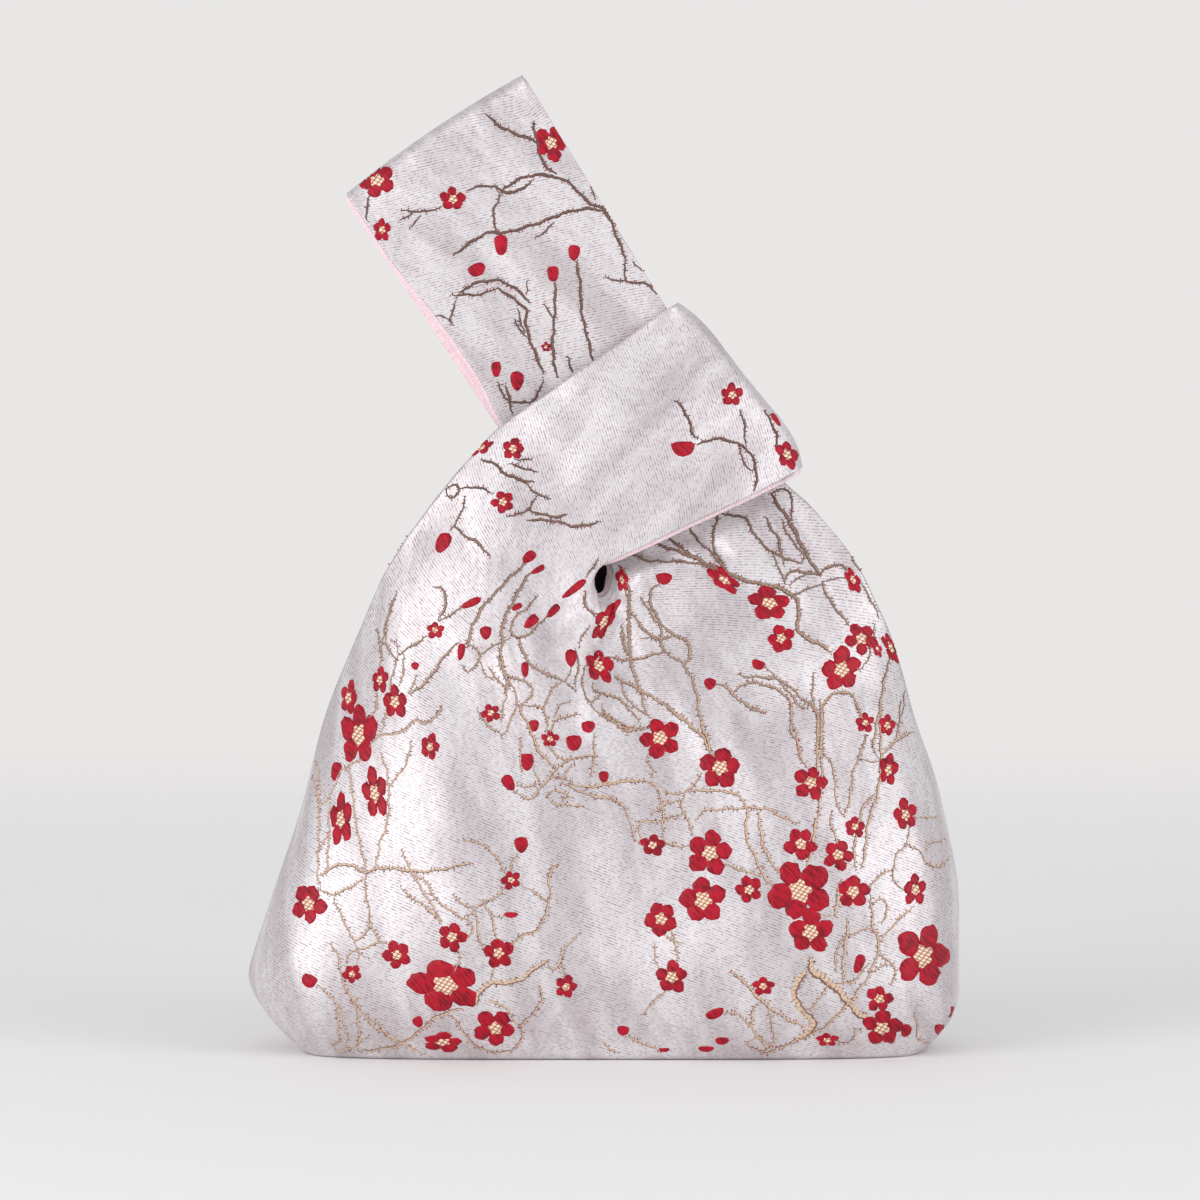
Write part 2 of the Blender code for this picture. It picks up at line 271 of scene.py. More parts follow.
@dataclass
class PanelShape:
    """Middle surface of one panel: points, faces and cloth coordinates."""

    cut: BagCut
    grid: Grid
    hole_height: float
    edge_inset: float
    points: np.ndarray = field(init=False)
    faces: List[Tuple[int, int, int, int]] = field(init=False, default_factory=list)
    cloth: np.ndarray = field(init=False)
    strap_start: float = field(init=False, default=0.0)

    def __post_init__(self) -> None:
        """Lays out the body, the base and both straps."""
        cut = self.cut
        neck = np.array((0.0, 0.0, cut.neck_height))
        half_hole = np.array((cut.hole_width / 2, 0.0, 0.0))
        self.neck_left = neck - half_hole
        self.root_inner = neck + half_hole
        self.shoulder = neck + cut.shoulder_reach * direction(cut.shoulder_angle)
        self.root_corner = self.root_inner + cut.root_width * direction(cut.root_tilt)
        lean = direction(90 + cut.knot_lean)
        self.knot_inner = self.root_inner + cut.knot_length * lean
        self.knot_outer = self.knot_inner + cut.band_width * direction(cut.knot_tilt)
        rise = cut.loop_length * direction(90 + cut.loop_lean)
        self.loop_inner = self.knot_inner + rise
        self.loop_outer = self.knot_outer + rise
        span = self.loop_outer - self.loop_inner
        self.loop_span = span / np.linalg.norm(span)
        run = self.knot_outer - self.root_corner
        run = run / np.linalg.norm(run)
        self.fold_run = np.array((run[2], 0.0, -run[0]))
        self._points: Rows = []
        body = self._add_rows(self._body_rows())
        rim = body[0]
        base = []
        for j, row in enumerate(self._base_rows(np.array(self._points)[rim])):
            inside = self._add_rows([row[1:-1]])[0]
            base.append([rim[j]] + inside + [rim[self.grid.columns - j]])
        base.append(rim[self.grid.side : self.grid.columns - self.grid.side + 1])
        self._join(base)
        self._join(body)
        top = np.array(self._points)[body[-1]]
        straps = []
        band = self.grid.band
        for rows, first in (
            (self._short_strap(top[: band + 1]), 0),
            (self._long_strap(top[-band - 1 :]), self.grid.columns - band),
        ):
            strap = [body[-1][first : first + band + 1]] + self._add_rows(rows)
            self._join(strap)
            straps.append((first, strap))
        self.points = np.array(self._points)
        self._held = set(sum(base, []))
        self._relax()
        self._lay_cloth(base, body, straps)

    def _add_rows(self, rows: Rows) -> List[List[int]]:
        """Adds rows of points and gives their numbers.

        Args:
            rows: The rows.

        Returns:
            Numbers of the points in each row.
        """
        made = []
        for row in rows:
            made.append(list(range(len(self._points), len(self._points) + len(row))))
            self._points.extend(np.array(row))
        return made

    def _join(self, rows: List[List[int]]) -> None:
        """Makes faces between each row and the next.

        Args:
            rows: Numbers of the points in each row.
        """
        for low, high in zip(rows, rows[1:]):
            for i in range(len(low) - 1):
                self.faces.append((low[i], low[i + 1], high[i + 1], high[i]))

    def _top_row(self) -> np.ndarray:
        """Where the body passes into the short strap, the neck edge and the long strap.

        Returns:
            The row's points.
        """
        cut, grid = self.cut, self.grid
        start = with_depth(self.shoulder, cut.shoulder_depth / 2)
        neck_front = with_depth(self.neck_left, cut.neck_depth / 2)
        neck_back = with_depth(self.root_inner, cut.neck_rear_depth / 2)
        end = with_depth(self.root_corner, cut.long_half)
        points = []
        for i in range(grid.band + 1):
            t = i / grid.band
            point = mix(start, neck_front, t)
            point[1] -= 4 * t * (1 - t) * cut.shoulder_crown
            points.append(point)
        for i in range(1, grid.neck):
            t = i / grid.neck
            point = mix(neck_front, neck_back, t)
            half = cut.hole_width / 2
            point[0] = -half * cos(pi * t) * (1 + 0.45 * sin(pi * t)) - 0.1 * half * sin(pi * t)
            point[2] -= self.hole_height * sin(pi * t)
            points.append(point)
        for i in range(grid.band + 1):
            t = i / grid.band
            point = mix(neck_back, end, t)
            point[1] -= 4 * t * (1 - t) * cut.long_root_crown
            points.append(point)
        return np.array(points)

    def _body_row(self, climb: float, flare: float) -> np.ndarray:
        """One row of the body.

        Args:
            climb: Share of the way up from the widest height.
            flare: Share of the way up from the table to the widest height.

        Returns:
            The row's points.
        """
        cut = self.cut
        inset = (1 - flare) ** 2
        low = mix(cut.outer_thickness / 2, cut.widest_height, flare)
        left_tuck = cut.left_tuck * (1 - flare) ** 1.8
        right_tuck = cut.right_tuck * (1 - flare) ** 3
        left_share = outline_share(cut.left_outline, climb)
        right_share = outline_share(cut.right_outline, climb)
        left = mix(-cut.body_width / 2, self.shoulder[0], left_share) + left_tuck
        right = mix(cut.body_width / 2, self.root_corner[0], right_share) - right_tuck
        right += cut.right_ease * (1 - flare)
        left_height = mix(low, self.shoulder[2], climb)
        right_height = mix(low, self.root_corner[2], climb)
        half_depth = cut.body_depth / 2 - inset * (cut.body_depth - cut.base_depth) / 2
        half_depth = mix(half_depth, cut.neck_depth / 2, climb ** 1.7)
        opening = smooth((climb - cut.underarm_share) / (1 - cut.underarm_share))
        bow = cut.armhole_bow * sin(pi * opening)
        left_edge = mix(cut.clearance / 2, cut.shoulder_depth / 2, opening) + bow
        right_edge = mix(cut.clearance / 2, cut.long_half, opening) + bow
        across, reach = half_section(mix(4.2, 2.1, smooth(climb * 1.6)), self.grid.columns)
        share = (across + 1) / 2
        x = mix(left, right, share)
        z = mix(left_height, right_height, share)
        edge = mix(left_edge, right_edge, share)
        return np.stack((x, -mix(edge, half_depth, reach), z), axis=1)

    def _folds(self, points: np.ndarray, climb: float) -> np.ndarray:
        """Pleat running down from the neck opening, and the soft upright folds.

        Args:
            points: A row of the body.
            climb: Share of the way up.

        Returns:
            The row with its folds.
        """
        cut = self.cut
        drop = cut.neck_height - self.hole_height - points[:, 2]
        fade = smooth(1 - drop / cut.pleat_length) * smooth(climb * 3)
        pleat = np.exp(-((points[:, 0] / cut.pleat_width) ** 2))
        points[:, 1] += cut.pleat_depth * pleat * fade
        bulge = smooth(-4 * points[:, 1] / cut.body_depth - 0.3)
        hold = smooth(climb * 2.5) * smooth((1 - climb) * 3) * bulge
        phase = (points[:, 0] + 0.45 * points[:, 2]) / (0.24 * cut.body_width)
        points[:, 1] += cut.fold_depth * np.sin(2 * np.pi * phase) * hold
        return points

    def _body_rows(self) -> Rows:
        """Rows of the body, from the table to the straps.

        Returns:
            The rows.
        """
        grid = self.grid
        top = self._top_row()
        last = self._body_row(1.0, 1.0)
        rows = []
        for i in range(grid.flare):
            rows.append(self._body_row(0.0, (i / grid.flare) ** 1.3))
        for i in range(grid.body + 1):
            climb = i / grid.body
            pull = smooth((climb - 0.25) / 0.75) ** 1.4
            row = self._body_row(climb, 1.0) + (top - last) * pull
            rows.append(self._folds(row, climb) if i < grid.body else row)
        return rows

    def _base_rows(self, rim: np.ndarray) -> Rows:
        """Flat base between the two box corners, from the bottom seam out to the rim.

        Args:
            rim: Points of the body's lowest row.

        Returns:
            The rows.
        """
        first, last = self.grid.side, self.grid.columns - self.grid.side
        share = np.linspace(0.0, 1.0, last - first + 1)[:, None]
        bow = rim[first : last + 1] - mix(rim[first], rim[last], share)
        rows = []
        for j in range(self.grid.side):
            straight = mix(rim[j], rim[self.grid.columns - j], share)
            rows.append(straight + bow * (j / self.grid.side))
        return rows

    def _short_strap(self, root: np.ndarray) -> Rows:
        """Rows of the short strap, over the long one to its fold at the right.

        Args:
            root: Points that the strap starts from.

        Returns:
            The rows.
        """
        cut, grid = self.cut, self.grid
        margin = cut.stack + 9 * cut.clearance
        low = self.root_corner + self.fold_run * margin
        high = self.knot_outer + self.fold_run * margin
        share = np.linspace(1.0, 0.0, grid.band + 1)[:, None]
        crown = 4 * share * (1 - share)
        bow = np.interp(share[:, 0], *np.array(FOLD_BOW).T)[:, None]
        fold = mix(low, high, share) + self.fold_run * bow
        reach = 2.5 * cut.stack
        rows = []
        for k in range(1, grid.short + 1):
            t = k / grid.short
            start = fold - self.fold_run * reach
            start[:, 1] = -cut.short_half
            row = mix(root, start, t)
            row[:, 1] -= sin(pi * t) * (cut.short_lift + cut.short_crown * crown[:, 0])
            rows.append(row)
        for k in range(1, grid.turn + 1):
            angle = pi / 2 * k / grid.turn
            row = fold - self.fold_run * reach * (1 - sin(angle) ** cut.fold_fullness)
            side = max(0.0, cos(angle)) ** cut.fold_fullness
            row[:, 1] = mix(-cut.clearance / 2, -cut.short_half, side)
            rows.append(row)
        return rows

    def _long_strap(self, root: np.ndarray) -> Rows:
        """Rows of the long strap, through the knot and up to the fold at the loop's top.

        Args:
            root: Points that the strap starts from.

        Returns:
            The rows.
        """
        cut, grid = self.cut, self.grid
        turn = cut.loop_gap / 2 + cut.stack - cut.outer_thickness / 2
        share = np.linspace(0.0, 1.0, grid.band + 1)[:, None]
        knot = mix(self.knot_inner, self.knot_outer, share)
        flare = self.loop_span * cut.loop_flare / 2
        top = mix(self.loop_inner - flare, self.loop_outer + flare, share)
        run = direction(90 + cut.loop_lean)
        top = top + run * cut.loop_bow * 4 * share * (1 - share)
        half = grid.long // 2
        rows = []
        for k in range(1, half + 1):
            t = k / half
            row = mix(root, knot, t)
            row[:, 1] = mix(root[:, 1], -cut.long_half, smooth(t * 1.6))
            rows.append(row)
        for k in range(1, grid.long - half + 1):
            t = k / (grid.long - half)
            row = mix(knot, top - run * turn, t)
            row[:, 1] = -cut.long_half
            shift = self.edge_inset * sin(pi * min(1.0, t + 0.25)) * (1 - share)
            rows.append(row + self.loop_span * shift)
        for k in range(1, grid.turn + 1):
            angle = pi / 2 * k / grid.turn
            row = top - run * turn * (1 - sin(angle) ** cut.loop_fullness)
            side = max(0.0, cos(angle)) ** cut.loop_fullness
            row[:, 1] = mix(-cut.clearance / 2, -cut.long_half, side)
            rows.append(row)
        return rows

    def edges(self) -> List[Tuple[int, int]]:
        """Edges with one face only, in the direction of that face.

        Returns:
            The two points of each edge.
        """
        ends = set()
        for face in self.faces:
            for a, b in zip(face, face[1:] + face[:1]):
                ends.add((a, b))
        return [edge for edge in sorted(ends) if edge[::-1] not in ends]

    def _relax(self) -> None:
        """Evens out the surface between its edges, with the base kept flat."""
        held = {a for a, _ in self.edges()} | self._held
        quads = np.array(self.faces)
        free = np.array([i not in held for i in range(len(self.points))])
        for _ in range(self.grid.relax):
            total = np.zeros_like(self.points)
            count = np.zeros(len(self.points))
            for i in range(4):
                for j in ((i + 1) % 4, (i + 3) % 4):
                    np.add.at(total, quads[:, i], self.points[quads[:, j]])
                    np.add.at(count, quads[:, i], 1)
            middle = total / count[:, None]
            self.points[free] = mix(self.points[free], middle[free], 0.5)

    def _lay_cloth(
        self,
        base: List[List[int]],
        body: List[List[int]],
        straps: List[Tuple[int, List[List[int]]]],
    ) -> None:
        """Gives each point its place on the flat cloth, along and across the weave.

        Args:
            base: Numbers of the points in each row of the base.
            body: The same for the body.
            straps: First column and rows of each strap.
        """
        self.cloth = np.zeros((len(self.points), 2))
        middle = self.grid.columns // 2
        height = self.cut.base_cloth
        for number, row in enumerate(body):
            if number:
                height += self._climb(body[number - 1], row)
            self.cloth[row, 0] = self._across(row, middle)
            self.cloth[row, 1] = height
        for number, row in enumerate(base[:-1]):
            inside = row[1:-1]
            self.cloth[inside, 0] = self._across(row, len(row) // 2)[1:-1]
            self.cloth[inside, 1] = self.cut.base_cloth * number / len(base)
        self.strap_start = height
        for _, strap in straps:
            climb = height
            offset = self.cloth[strap[0][0], 0]
            for low, row in zip(strap, strap[1:]):
                climb += self._climb(low, row)
                self.cloth[row, 0] = offset + self._across(row, 0)
                self.cloth[row, 1] = climb

    def _across(self, row: List[int], centre: int) -> np.ndarray:
        """Length along a row, measured from a column.

        Args:
            row: Numbers of the row's points.
            centre: Column where the length is zero.

        Returns:
            The length at each point in metres.
        """
        steps = np.linalg.norm(np.diff(self.points[row], axis=0), axis=1)
        length = np.concatenate(([0.0], np.cumsum(steps)))
        return length - length[centre]

    def _climb(self, low: List[int], row: List[int]) -> float:
        """Length along the cloth from one row to the next."""
        step = self.points[row] - self.points[low]
        return float(np.median(np.linalg.norm(step, axis=1)))


@dataclass(frozen=True)
class Drape:
    """Soft swells and pressed creases of the cloth, as seen in the front view."""

    swells: Table = SWELLS
    creases: Table = CREASES
    pleats: Table = PLEATS
    pleat_edge: float = 0.0009

    def body(self, x: np.ndarray, z: np.ndarray) -> np.ndarray:
        """Height of the body's folds at places in the front view.

        Args:
            x: Places across, in metres.
            z: Heights, in metres.

        Returns:
            Height over the plain surface at each place, in metres.
        """
        total = np.zeros_like(x)
        for x0, z0, wide, tall, high in np.array(self.swells) / UNITS:
            total += high * np.exp(-(((x - x0) / wide) ** 2) - ((z - z0) / tall) ** 2)
        for *ends, width, deep in np.array(self.creases) / UNITS:
            along, off = self._beside(x, z, *ends)
            fade = smooth(along * 4 + 0.5) * smooth((1 - along) * 3 + 0.3)
            total -= deep * fade * np.exp(-((off / width) ** 2))
        for *ends, width, step in np.array(self.pleats) / UNITS:
            along, off = self._beside(x, z, *ends)
            fade = smooth(along * 2.5 + 0.5) * smooth((1 - along) * 4 + 0.6)
            rise = smooth(off / self.pleat_edge + 0.5)
            total += step * fade * rise * np.exp(-np.abs(off) / width)
        return total

    def _beside(
        self, x: np.ndarray, z: np.ndarray, x0: float, z0: float, x1: float, z1: float
    ) -> Tuple[np.ndarray, np.ndarray]:
        """Where places lie beside a line.

        Args:
            x: Places across, in metres.
            z: Heights, in metres.
            x0: Place across of the line's start.
            z0: Height of its start.
            x1: Place across of its end.
            z1: Height of its end.

        Returns:
            Share of the line's length at each place, and distance to its right.
        """
        run = np.array((x1 - x0, z1 - z0))
        length = np.linalg.norm(run)
        along = ((x - x0) * run[0] + (z - z0) * run[1]) / length ** 2
        off = ((x - x0) * run[1] - (z - z0) * run[0]) / length
        return along, off

    def strap(self, across: np.ndarray, climb: np.ndarray) -> np.ndarray:
        """Height of the straps' folds at places on the cloth.

        Args:
            across: Places across the cloth, in metres, from the neck.
            climb: Places along the straps, in metres, from their roots.

        Returns:
            Height over the plain surface at each place, in metres.
        """
        on_short = smooth((-across - 0.001) / 0.002)
        edge = np.exp(-((across + 0.004) / 0.016) ** 2)
        lift = 0.0022 * edge * smooth(climb / 0.02) * smooth((0.078 - climb) / 0.02)
        ridge = 0.0008 * np.exp(-((across + 0.040) / 0.010) ** 2) * smooth(climb / 0.02)
        near_root = smooth((0.040 - climb) / 0.02) * smooth((climb + 0.012) / 0.012)
        return on_short * (lift + ridge) - (1 - on_short) * 0.0022 * near_root


def grain(x: np.ndarray, z: np.ndarray, scale: float, seed: int) -> np.ndarray:
    """Slow, even unevenness made of a few crossed waves.

    Args:
        x: Places across, in metres.
        z: Heights, in metres.
        scale: Typical length of a wave, in metres.
        seed: Number that picks the waves.

    Returns:
        Values between about -1 and 1.
    """
    draw = np.random.default_rng(seed)
    total = np.zeros_like(x)
    for _ in range(7):
        angle = draw.uniform(0, 2 * np.pi)
        wave = 2 * np.pi / (scale * draw.uniform(0.6, 1.7))
        phase = draw.uniform(0, 2 * np.pi)
        total += np.sin(wave * (x * np.cos(angle) + z * np.sin(angle)) + phase)
    return total / 3.5


@dataclass(frozen=True)
class BrocadeGround:
    """Silvery pink satin ground of the brocade, with its fine diagonal weave and broad lighter
    patches, partly watered tone and partly painted sheen.
    """

    name: str
    light: Colour = (220, 215, 217)
    shade: Colour = (202, 194, 196)
    fleck: Colour = (164, 147, 153)
    # Lowest tone of the broad lighter patches, which run up to white: partly the satin's watered
    # tone, partly painted sheen.
    cloud: Colour = (226, 221, 222)
    cloud_share: float = 0.8
    roughness: Pair = (0.37, 0.57)
    float_length: float = 0.0013
    row: float = 0.00088
    lean: float = 20.0
    wear_size: Pair = (0.004, 0.007)
    wear_lean: float = 30.0
    crumple_size: Pair = (0.006, 0.015)
    crumple_lean: float = -12.0
    crumple_height: float = 6.0
    moire_and_sheen_size: Pair = (0.014, 0.050)
    moire_and_sheen_lean: float = -14.0
    relief: float = 0.00010
    specular: float = 0.7
    metallic: float = 0.40

    def make(self) -> bpy.types.Material:
        """Builds the material.

        Returns:
            The material.
        """
        material, tree, shader = plain_shader(self.name)
        place = cloth_place(tree)
        weft = self.weft(tree, place)
        crumple = noise(tree, mapped(tree, place, self.crumple_lean, self.crumple_size), 2.0, 0.5)
        moire_and_sheen = noise(tree, mapped(tree, place, self.moire_and_sheen_lean, self.moire_and_sheen_size), 3.0, 0.6)
        tone = ramp(tree, weft, ((0.24, self.light), (0.42, self.shade), (0.60, self.fleck)))
        # Broad lighter patches multiplied into the weave's tones: partly watered tone, partly
        # painted sheen.
        cloud = ramp(tree, moire_and_sheen, ((0.36, self.cloud), (0.60, (255, 255, 255))))
        base = blended(tree, self.cloud_share, tone, cloud, "MULTIPLY")
        tree.links.new(base, shader.inputs["Base Color"])
        gloss = ranged(tree, moire_and_sheen, (0.0, 1.0), self.roughness)
        tree.links.new(gloss, shader.inputs["Roughness"])
        height = worked(tree, "MULTIPLY_ADD", crumple, self.crumple_height, weft)
        bump(tree, shader, height, 0.5, self.relief)
        shader.inputs["Specular IOR Level"].default_value = self.specular
        shader.inputs["Metallic"].default_value = self.metallic
        return material

    def weft(self, tree: Tree, place: Node) -> Socket:
        """Short slanting floats of thread in rows, worn unevenly.

        Args:
            tree: Node tree.
            place: Node that gives the place on the cloth.

        Returns:
            The value socket, highest between the floats.
        """
        rows = band(tree, mapped(tree, place, self.lean + 90, (self.row, self.row)))
        size = (self.float_length, self.row / 0.8)
        floats = noise(tree, mapped(tree, place, self.lean, size), 1.0, 0.6)
        worn = noise(tree, mapped(tree, place, self.wear_lean, self.wear_size), 3.0, 0.65)
        share = worked(tree, "MULTIPLY_ADD", worn, 1.1, 0.38)
        return worked(tree, "MULTIPLY", worked(tree, "MULTIPLY", rows, floats), share)


@dataclass(frozen=True)
class LiningCloth:
    """Plain pale pink lining with a fine even weave, painted near-black deep inside the bag as
    shade.
    """

    name: str
    side: Side
    strap_start: float
    light: Colour = (252, 226, 232)
    shade: Colour = (236, 202, 210)
    # Near-black painted shade of the lining deep inside the bag.
    inside: Colour = (62, 40, 54)
    thread: float = 0.00045
    relief: float = 0.00012
    roughness: float = 0.68
    sheen: float = 0.3

    def make(self) -> bpy.types.Material:
        """Builds the material.

        Returns:
            The material.
        """
        material, tree, shader = plain_shader(self.name)
        place = cloth_place(tree)
        weft = noise(tree, mapped(tree, place, 0.0, (3 * self.thread, self.thread)), 1.0, 0.5)
        tone = ramp(tree, weft, ((0.30, self.shade), (0.65, self.light)))
        # Painted shade, blended in deep inside the bag.
        deep = tree.nodes.new("ShaderNodeRGB").outputs[0]
        deep.default_value = linear(self.inside)
        base = blended(tree, self.unshaded_share(tree, place), deep, tone)
        tree.links.new(base, shader.inputs["Base Color"])
        bump(tree, shader, weft, 0.4, self.relief)
        shader.inputs["Roughness"].default_value = self.roughness
        shader.inputs["Sheen Weight"].default_value = self.sheen
        return material

    def unshaded_share(self, tree: Tree, place: Node) -> Socket:
        """Share of the lining's own colour: zero deep inside the bag, where shade is painted on
        it, one on the edges and straps.

        Args:
            tree: Node tree.
            place: Node that gives the place on the cloth.

        Returns:
            The value socket.
        """
        ends = (self.strap_start - 0.002, self.strap_start + 0.012)
        on_strap = ranged(tree, part(tree, place.outputs[0], "Y"), ends)
        facing = tree.nodes.new("ShaderNodeNewGeometry")
        turned = part(tree, facing.outputs["Normal"], "Y")
        rim = ranged(tree, turned, (-0.6 * self.side.value, -0.2 * self.side.value))
        return worked(tree, "MAXIMUM", on_strap, rim)


def plain_shader(name: str) -> Tuple[bpy.types.Material, Tree, Node]:
    """New material with its node tree and its shader.

    Args:
        name: Name of the material.

    Returns:
        The material, its node tree and its Principled shader.
    """
    material = bpy.data.materials.new(name)
    material.use_nodes = True
    tree = material.node_tree
    return material, tree, tree.nodes["Principled BSDF"]


def cloth_place(tree: Tree) -> Node:
    """Node that gives the place on the cloth.

    Args:
        tree: Node tree.

    Returns:
        The node.
    """
    place = tree.nodes.new("ShaderNodeUVMap")
    place.uv_map = "cloth"
    return place


def part(tree: Tree, vector: Socket, axis: str) -> Socket:
    """The X, Y or Z of a vector socket.

    Args:
        tree: Node tree.
        vector: Vector socket.
        axis: Which of them.

    Returns:
        The value socket.
    """
    split = tree.nodes.new("ShaderNodeSeparateXYZ")
    tree.links.new(vector, split.inputs["Vector"])
    return split.outputs[axis]


def worked(tree: Tree, operation: str, *values: Union[Socket, float]) -> Socket:
    """Result of a calculation on sockets and plain numbers.

    Args:
        tree: Node tree.
        operation: The calculation, as the Math node names it.
        *values: Its inputs, in order.

    Returns:
        The value socket.
    """
    node = tree.nodes.new("ShaderNodeMath")
    node.operation = operation
    for slot, value in zip(node.inputs, values):
        if isinstance(value, float):
            slot.default_value = value
        else:
            tree.links.new(value, slot)
    return node.outputs["Value"]


def ranged(tree: Tree, value: Socket, source: Pair, target: Pair = (0.0, 1.0)) -> Socket:
    """Value carried from one range to another and held inside it.

    Args:
        tree: Node tree.
        value: Value socket.
        source: Ends of the range it comes from.
        target: Ends of the range it goes to.

    Returns:
        The value socket.
    """
    node = tree.nodes.new("ShaderNodeMapRange")
    node.inputs["From Min"].default_value, node.inputs["From Max"].default_value = source
    node.inputs["To Min"].default_value, node.inputs["To Max"].default_value = target
    tree.links.new(value, node.inputs["Value"])
    return node.outputs["Result"]


def blended(
    tree: Tree, factor: Union[Socket, float], first: Socket, second: Socket, kind: str = "MIX"
) -> Socket:
    """Blend of two colours.

    Args:
        tree: Node tree.
        factor: Share of the second.
        first: First colour socket.
        second: Second colour socket.
        kind: How they blend.

    Returns:
        The colour socket.
    """
    node = tree.nodes.new("ShaderNodeMix")
    node.data_type = "RGBA"
    node.blend_type = kind
    if isinstance(factor, float):
        node.inputs["Factor"].default_value = factor
    else:
        tree.links.new(factor, node.inputs["Factor"])
    tree.links.new(first, node.inputs["A"])
    tree.links.new(second, node.inputs["B"])
    return node.outputs["Result"]


def mapped(tree: Tree, source: Node, turn: float, size: Pair) -> Socket:
    """Cloth coordinates turned and scaled for one thread pattern.

    Args:
        tree: Node tree.
        source: Node that gives the coordinates.
        turn: Turn of the pattern in degrees.
        size: Length and width of one repeat in metres.

    Returns:
        The socket with the new coordinates.
    """
    turned = tree.nodes.new("ShaderNodeMapping")
    turned.inputs["Rotation"].default_value = (0.0, 0.0, radians(turn))
    tree.links.new(source.outputs[0], turned.inputs["Vector"])
    sized = tree.nodes.new("ShaderNodeMapping")
    sized.inputs["Scale"].default_value = (1 / size[0], 1 / size[1], 1.0)
    tree.links.new(turned.outputs["Vector"], sized.inputs["Vector"])
    return sized.outputs["Vector"]


def noise(tree: Tree, vector: Socket, detail: float, rough: float) -> Socket:
    """Noise value of a coordinate socket, one wave a unit.

    Args:
        tree: Node tree.
        vector: Coordinate socket.
        detail: Octaves.
        rough: Weight of the finer octaves.

    Returns:
        The value socket.
    """
    node = tree.nodes.new("ShaderNodeTexNoise")
    node.noise_dimensions = "2D"
    node.inputs["Scale"].default_value = 1.0
    node.inputs["Detail"].default_value = detail
    node.inputs["Roughness"].default_value = rough
    tree.links.new(vector, node.inputs["Vector"])
    return node.outputs["Fac"]


def ramp(tree: Tree, value: Socket, stops: Sequence[Tuple[float, Colour]]) -> Socket:
    """Colour ramp of a value.

    Args:
        tree: Node tree.
        value: Value socket.
        stops: Place and colour of each stop.

    Returns:
        The colour socket.
    """
    node = tree.nodes.new("ShaderNodeValToRGB")
    line = node.color_ramp.elements
    while len(line) < len(stops):
        line.new(0.5)
    for element, (at, colour) in zip(line, stops):
        element.position = at
        element.color = linear(colour)
    tree.links.new(value, node.inputs["Fac"])
    return node.outputs["Color"]


def bump(tree: Tree, shader: Node, height: Socket, strength: float, distance: float) -> None:
    """Bump from a height socket.

    Args:
        tree: Node tree.
        shader: Principled shader that gets the normal.
        height: Height socket.
        strength: Strength of the bump.
        distance: Height of the relief in metres.
    """
    node = tree.nodes.new("ShaderNodeBump")
    node.inputs["Strength"].default_value = strength
    node.inputs["Distance"].default_value = distance
    tree.links.new(height, node.inputs["Height"])
    tree.links.new(node.outputs["Normal"], shader.inputs["Normal"])


def link_mesh(name: str, mesh: bpy.types.Mesh) -> bpy.types.Object:
    """Puts a mesh into the scene as an object at the origin.

    Args:
        name: Name of the object.
        mesh: Its mesh.

    Returns:
        The object.
    """
    piece = bpy.data.objects.new(name, mesh)
    bpy.context.scene.collection.objects.link(piece)
    return piece


def apply_modifiers(piece: bpy.types.Object) -> None:
    """Applies every modifier of a piece, in order.

    Args:
        piece: The piece.
    """
    bpy.ops.object.select_all(action="DESELECT")
    bpy.context.view_layer.objects.active = piece
    piece.select_set(True)
    for modifier in list(piece.modifiers):
        bpy.ops.object.modifier_apply(modifier=modifier.name)
    piece.select_set(False)


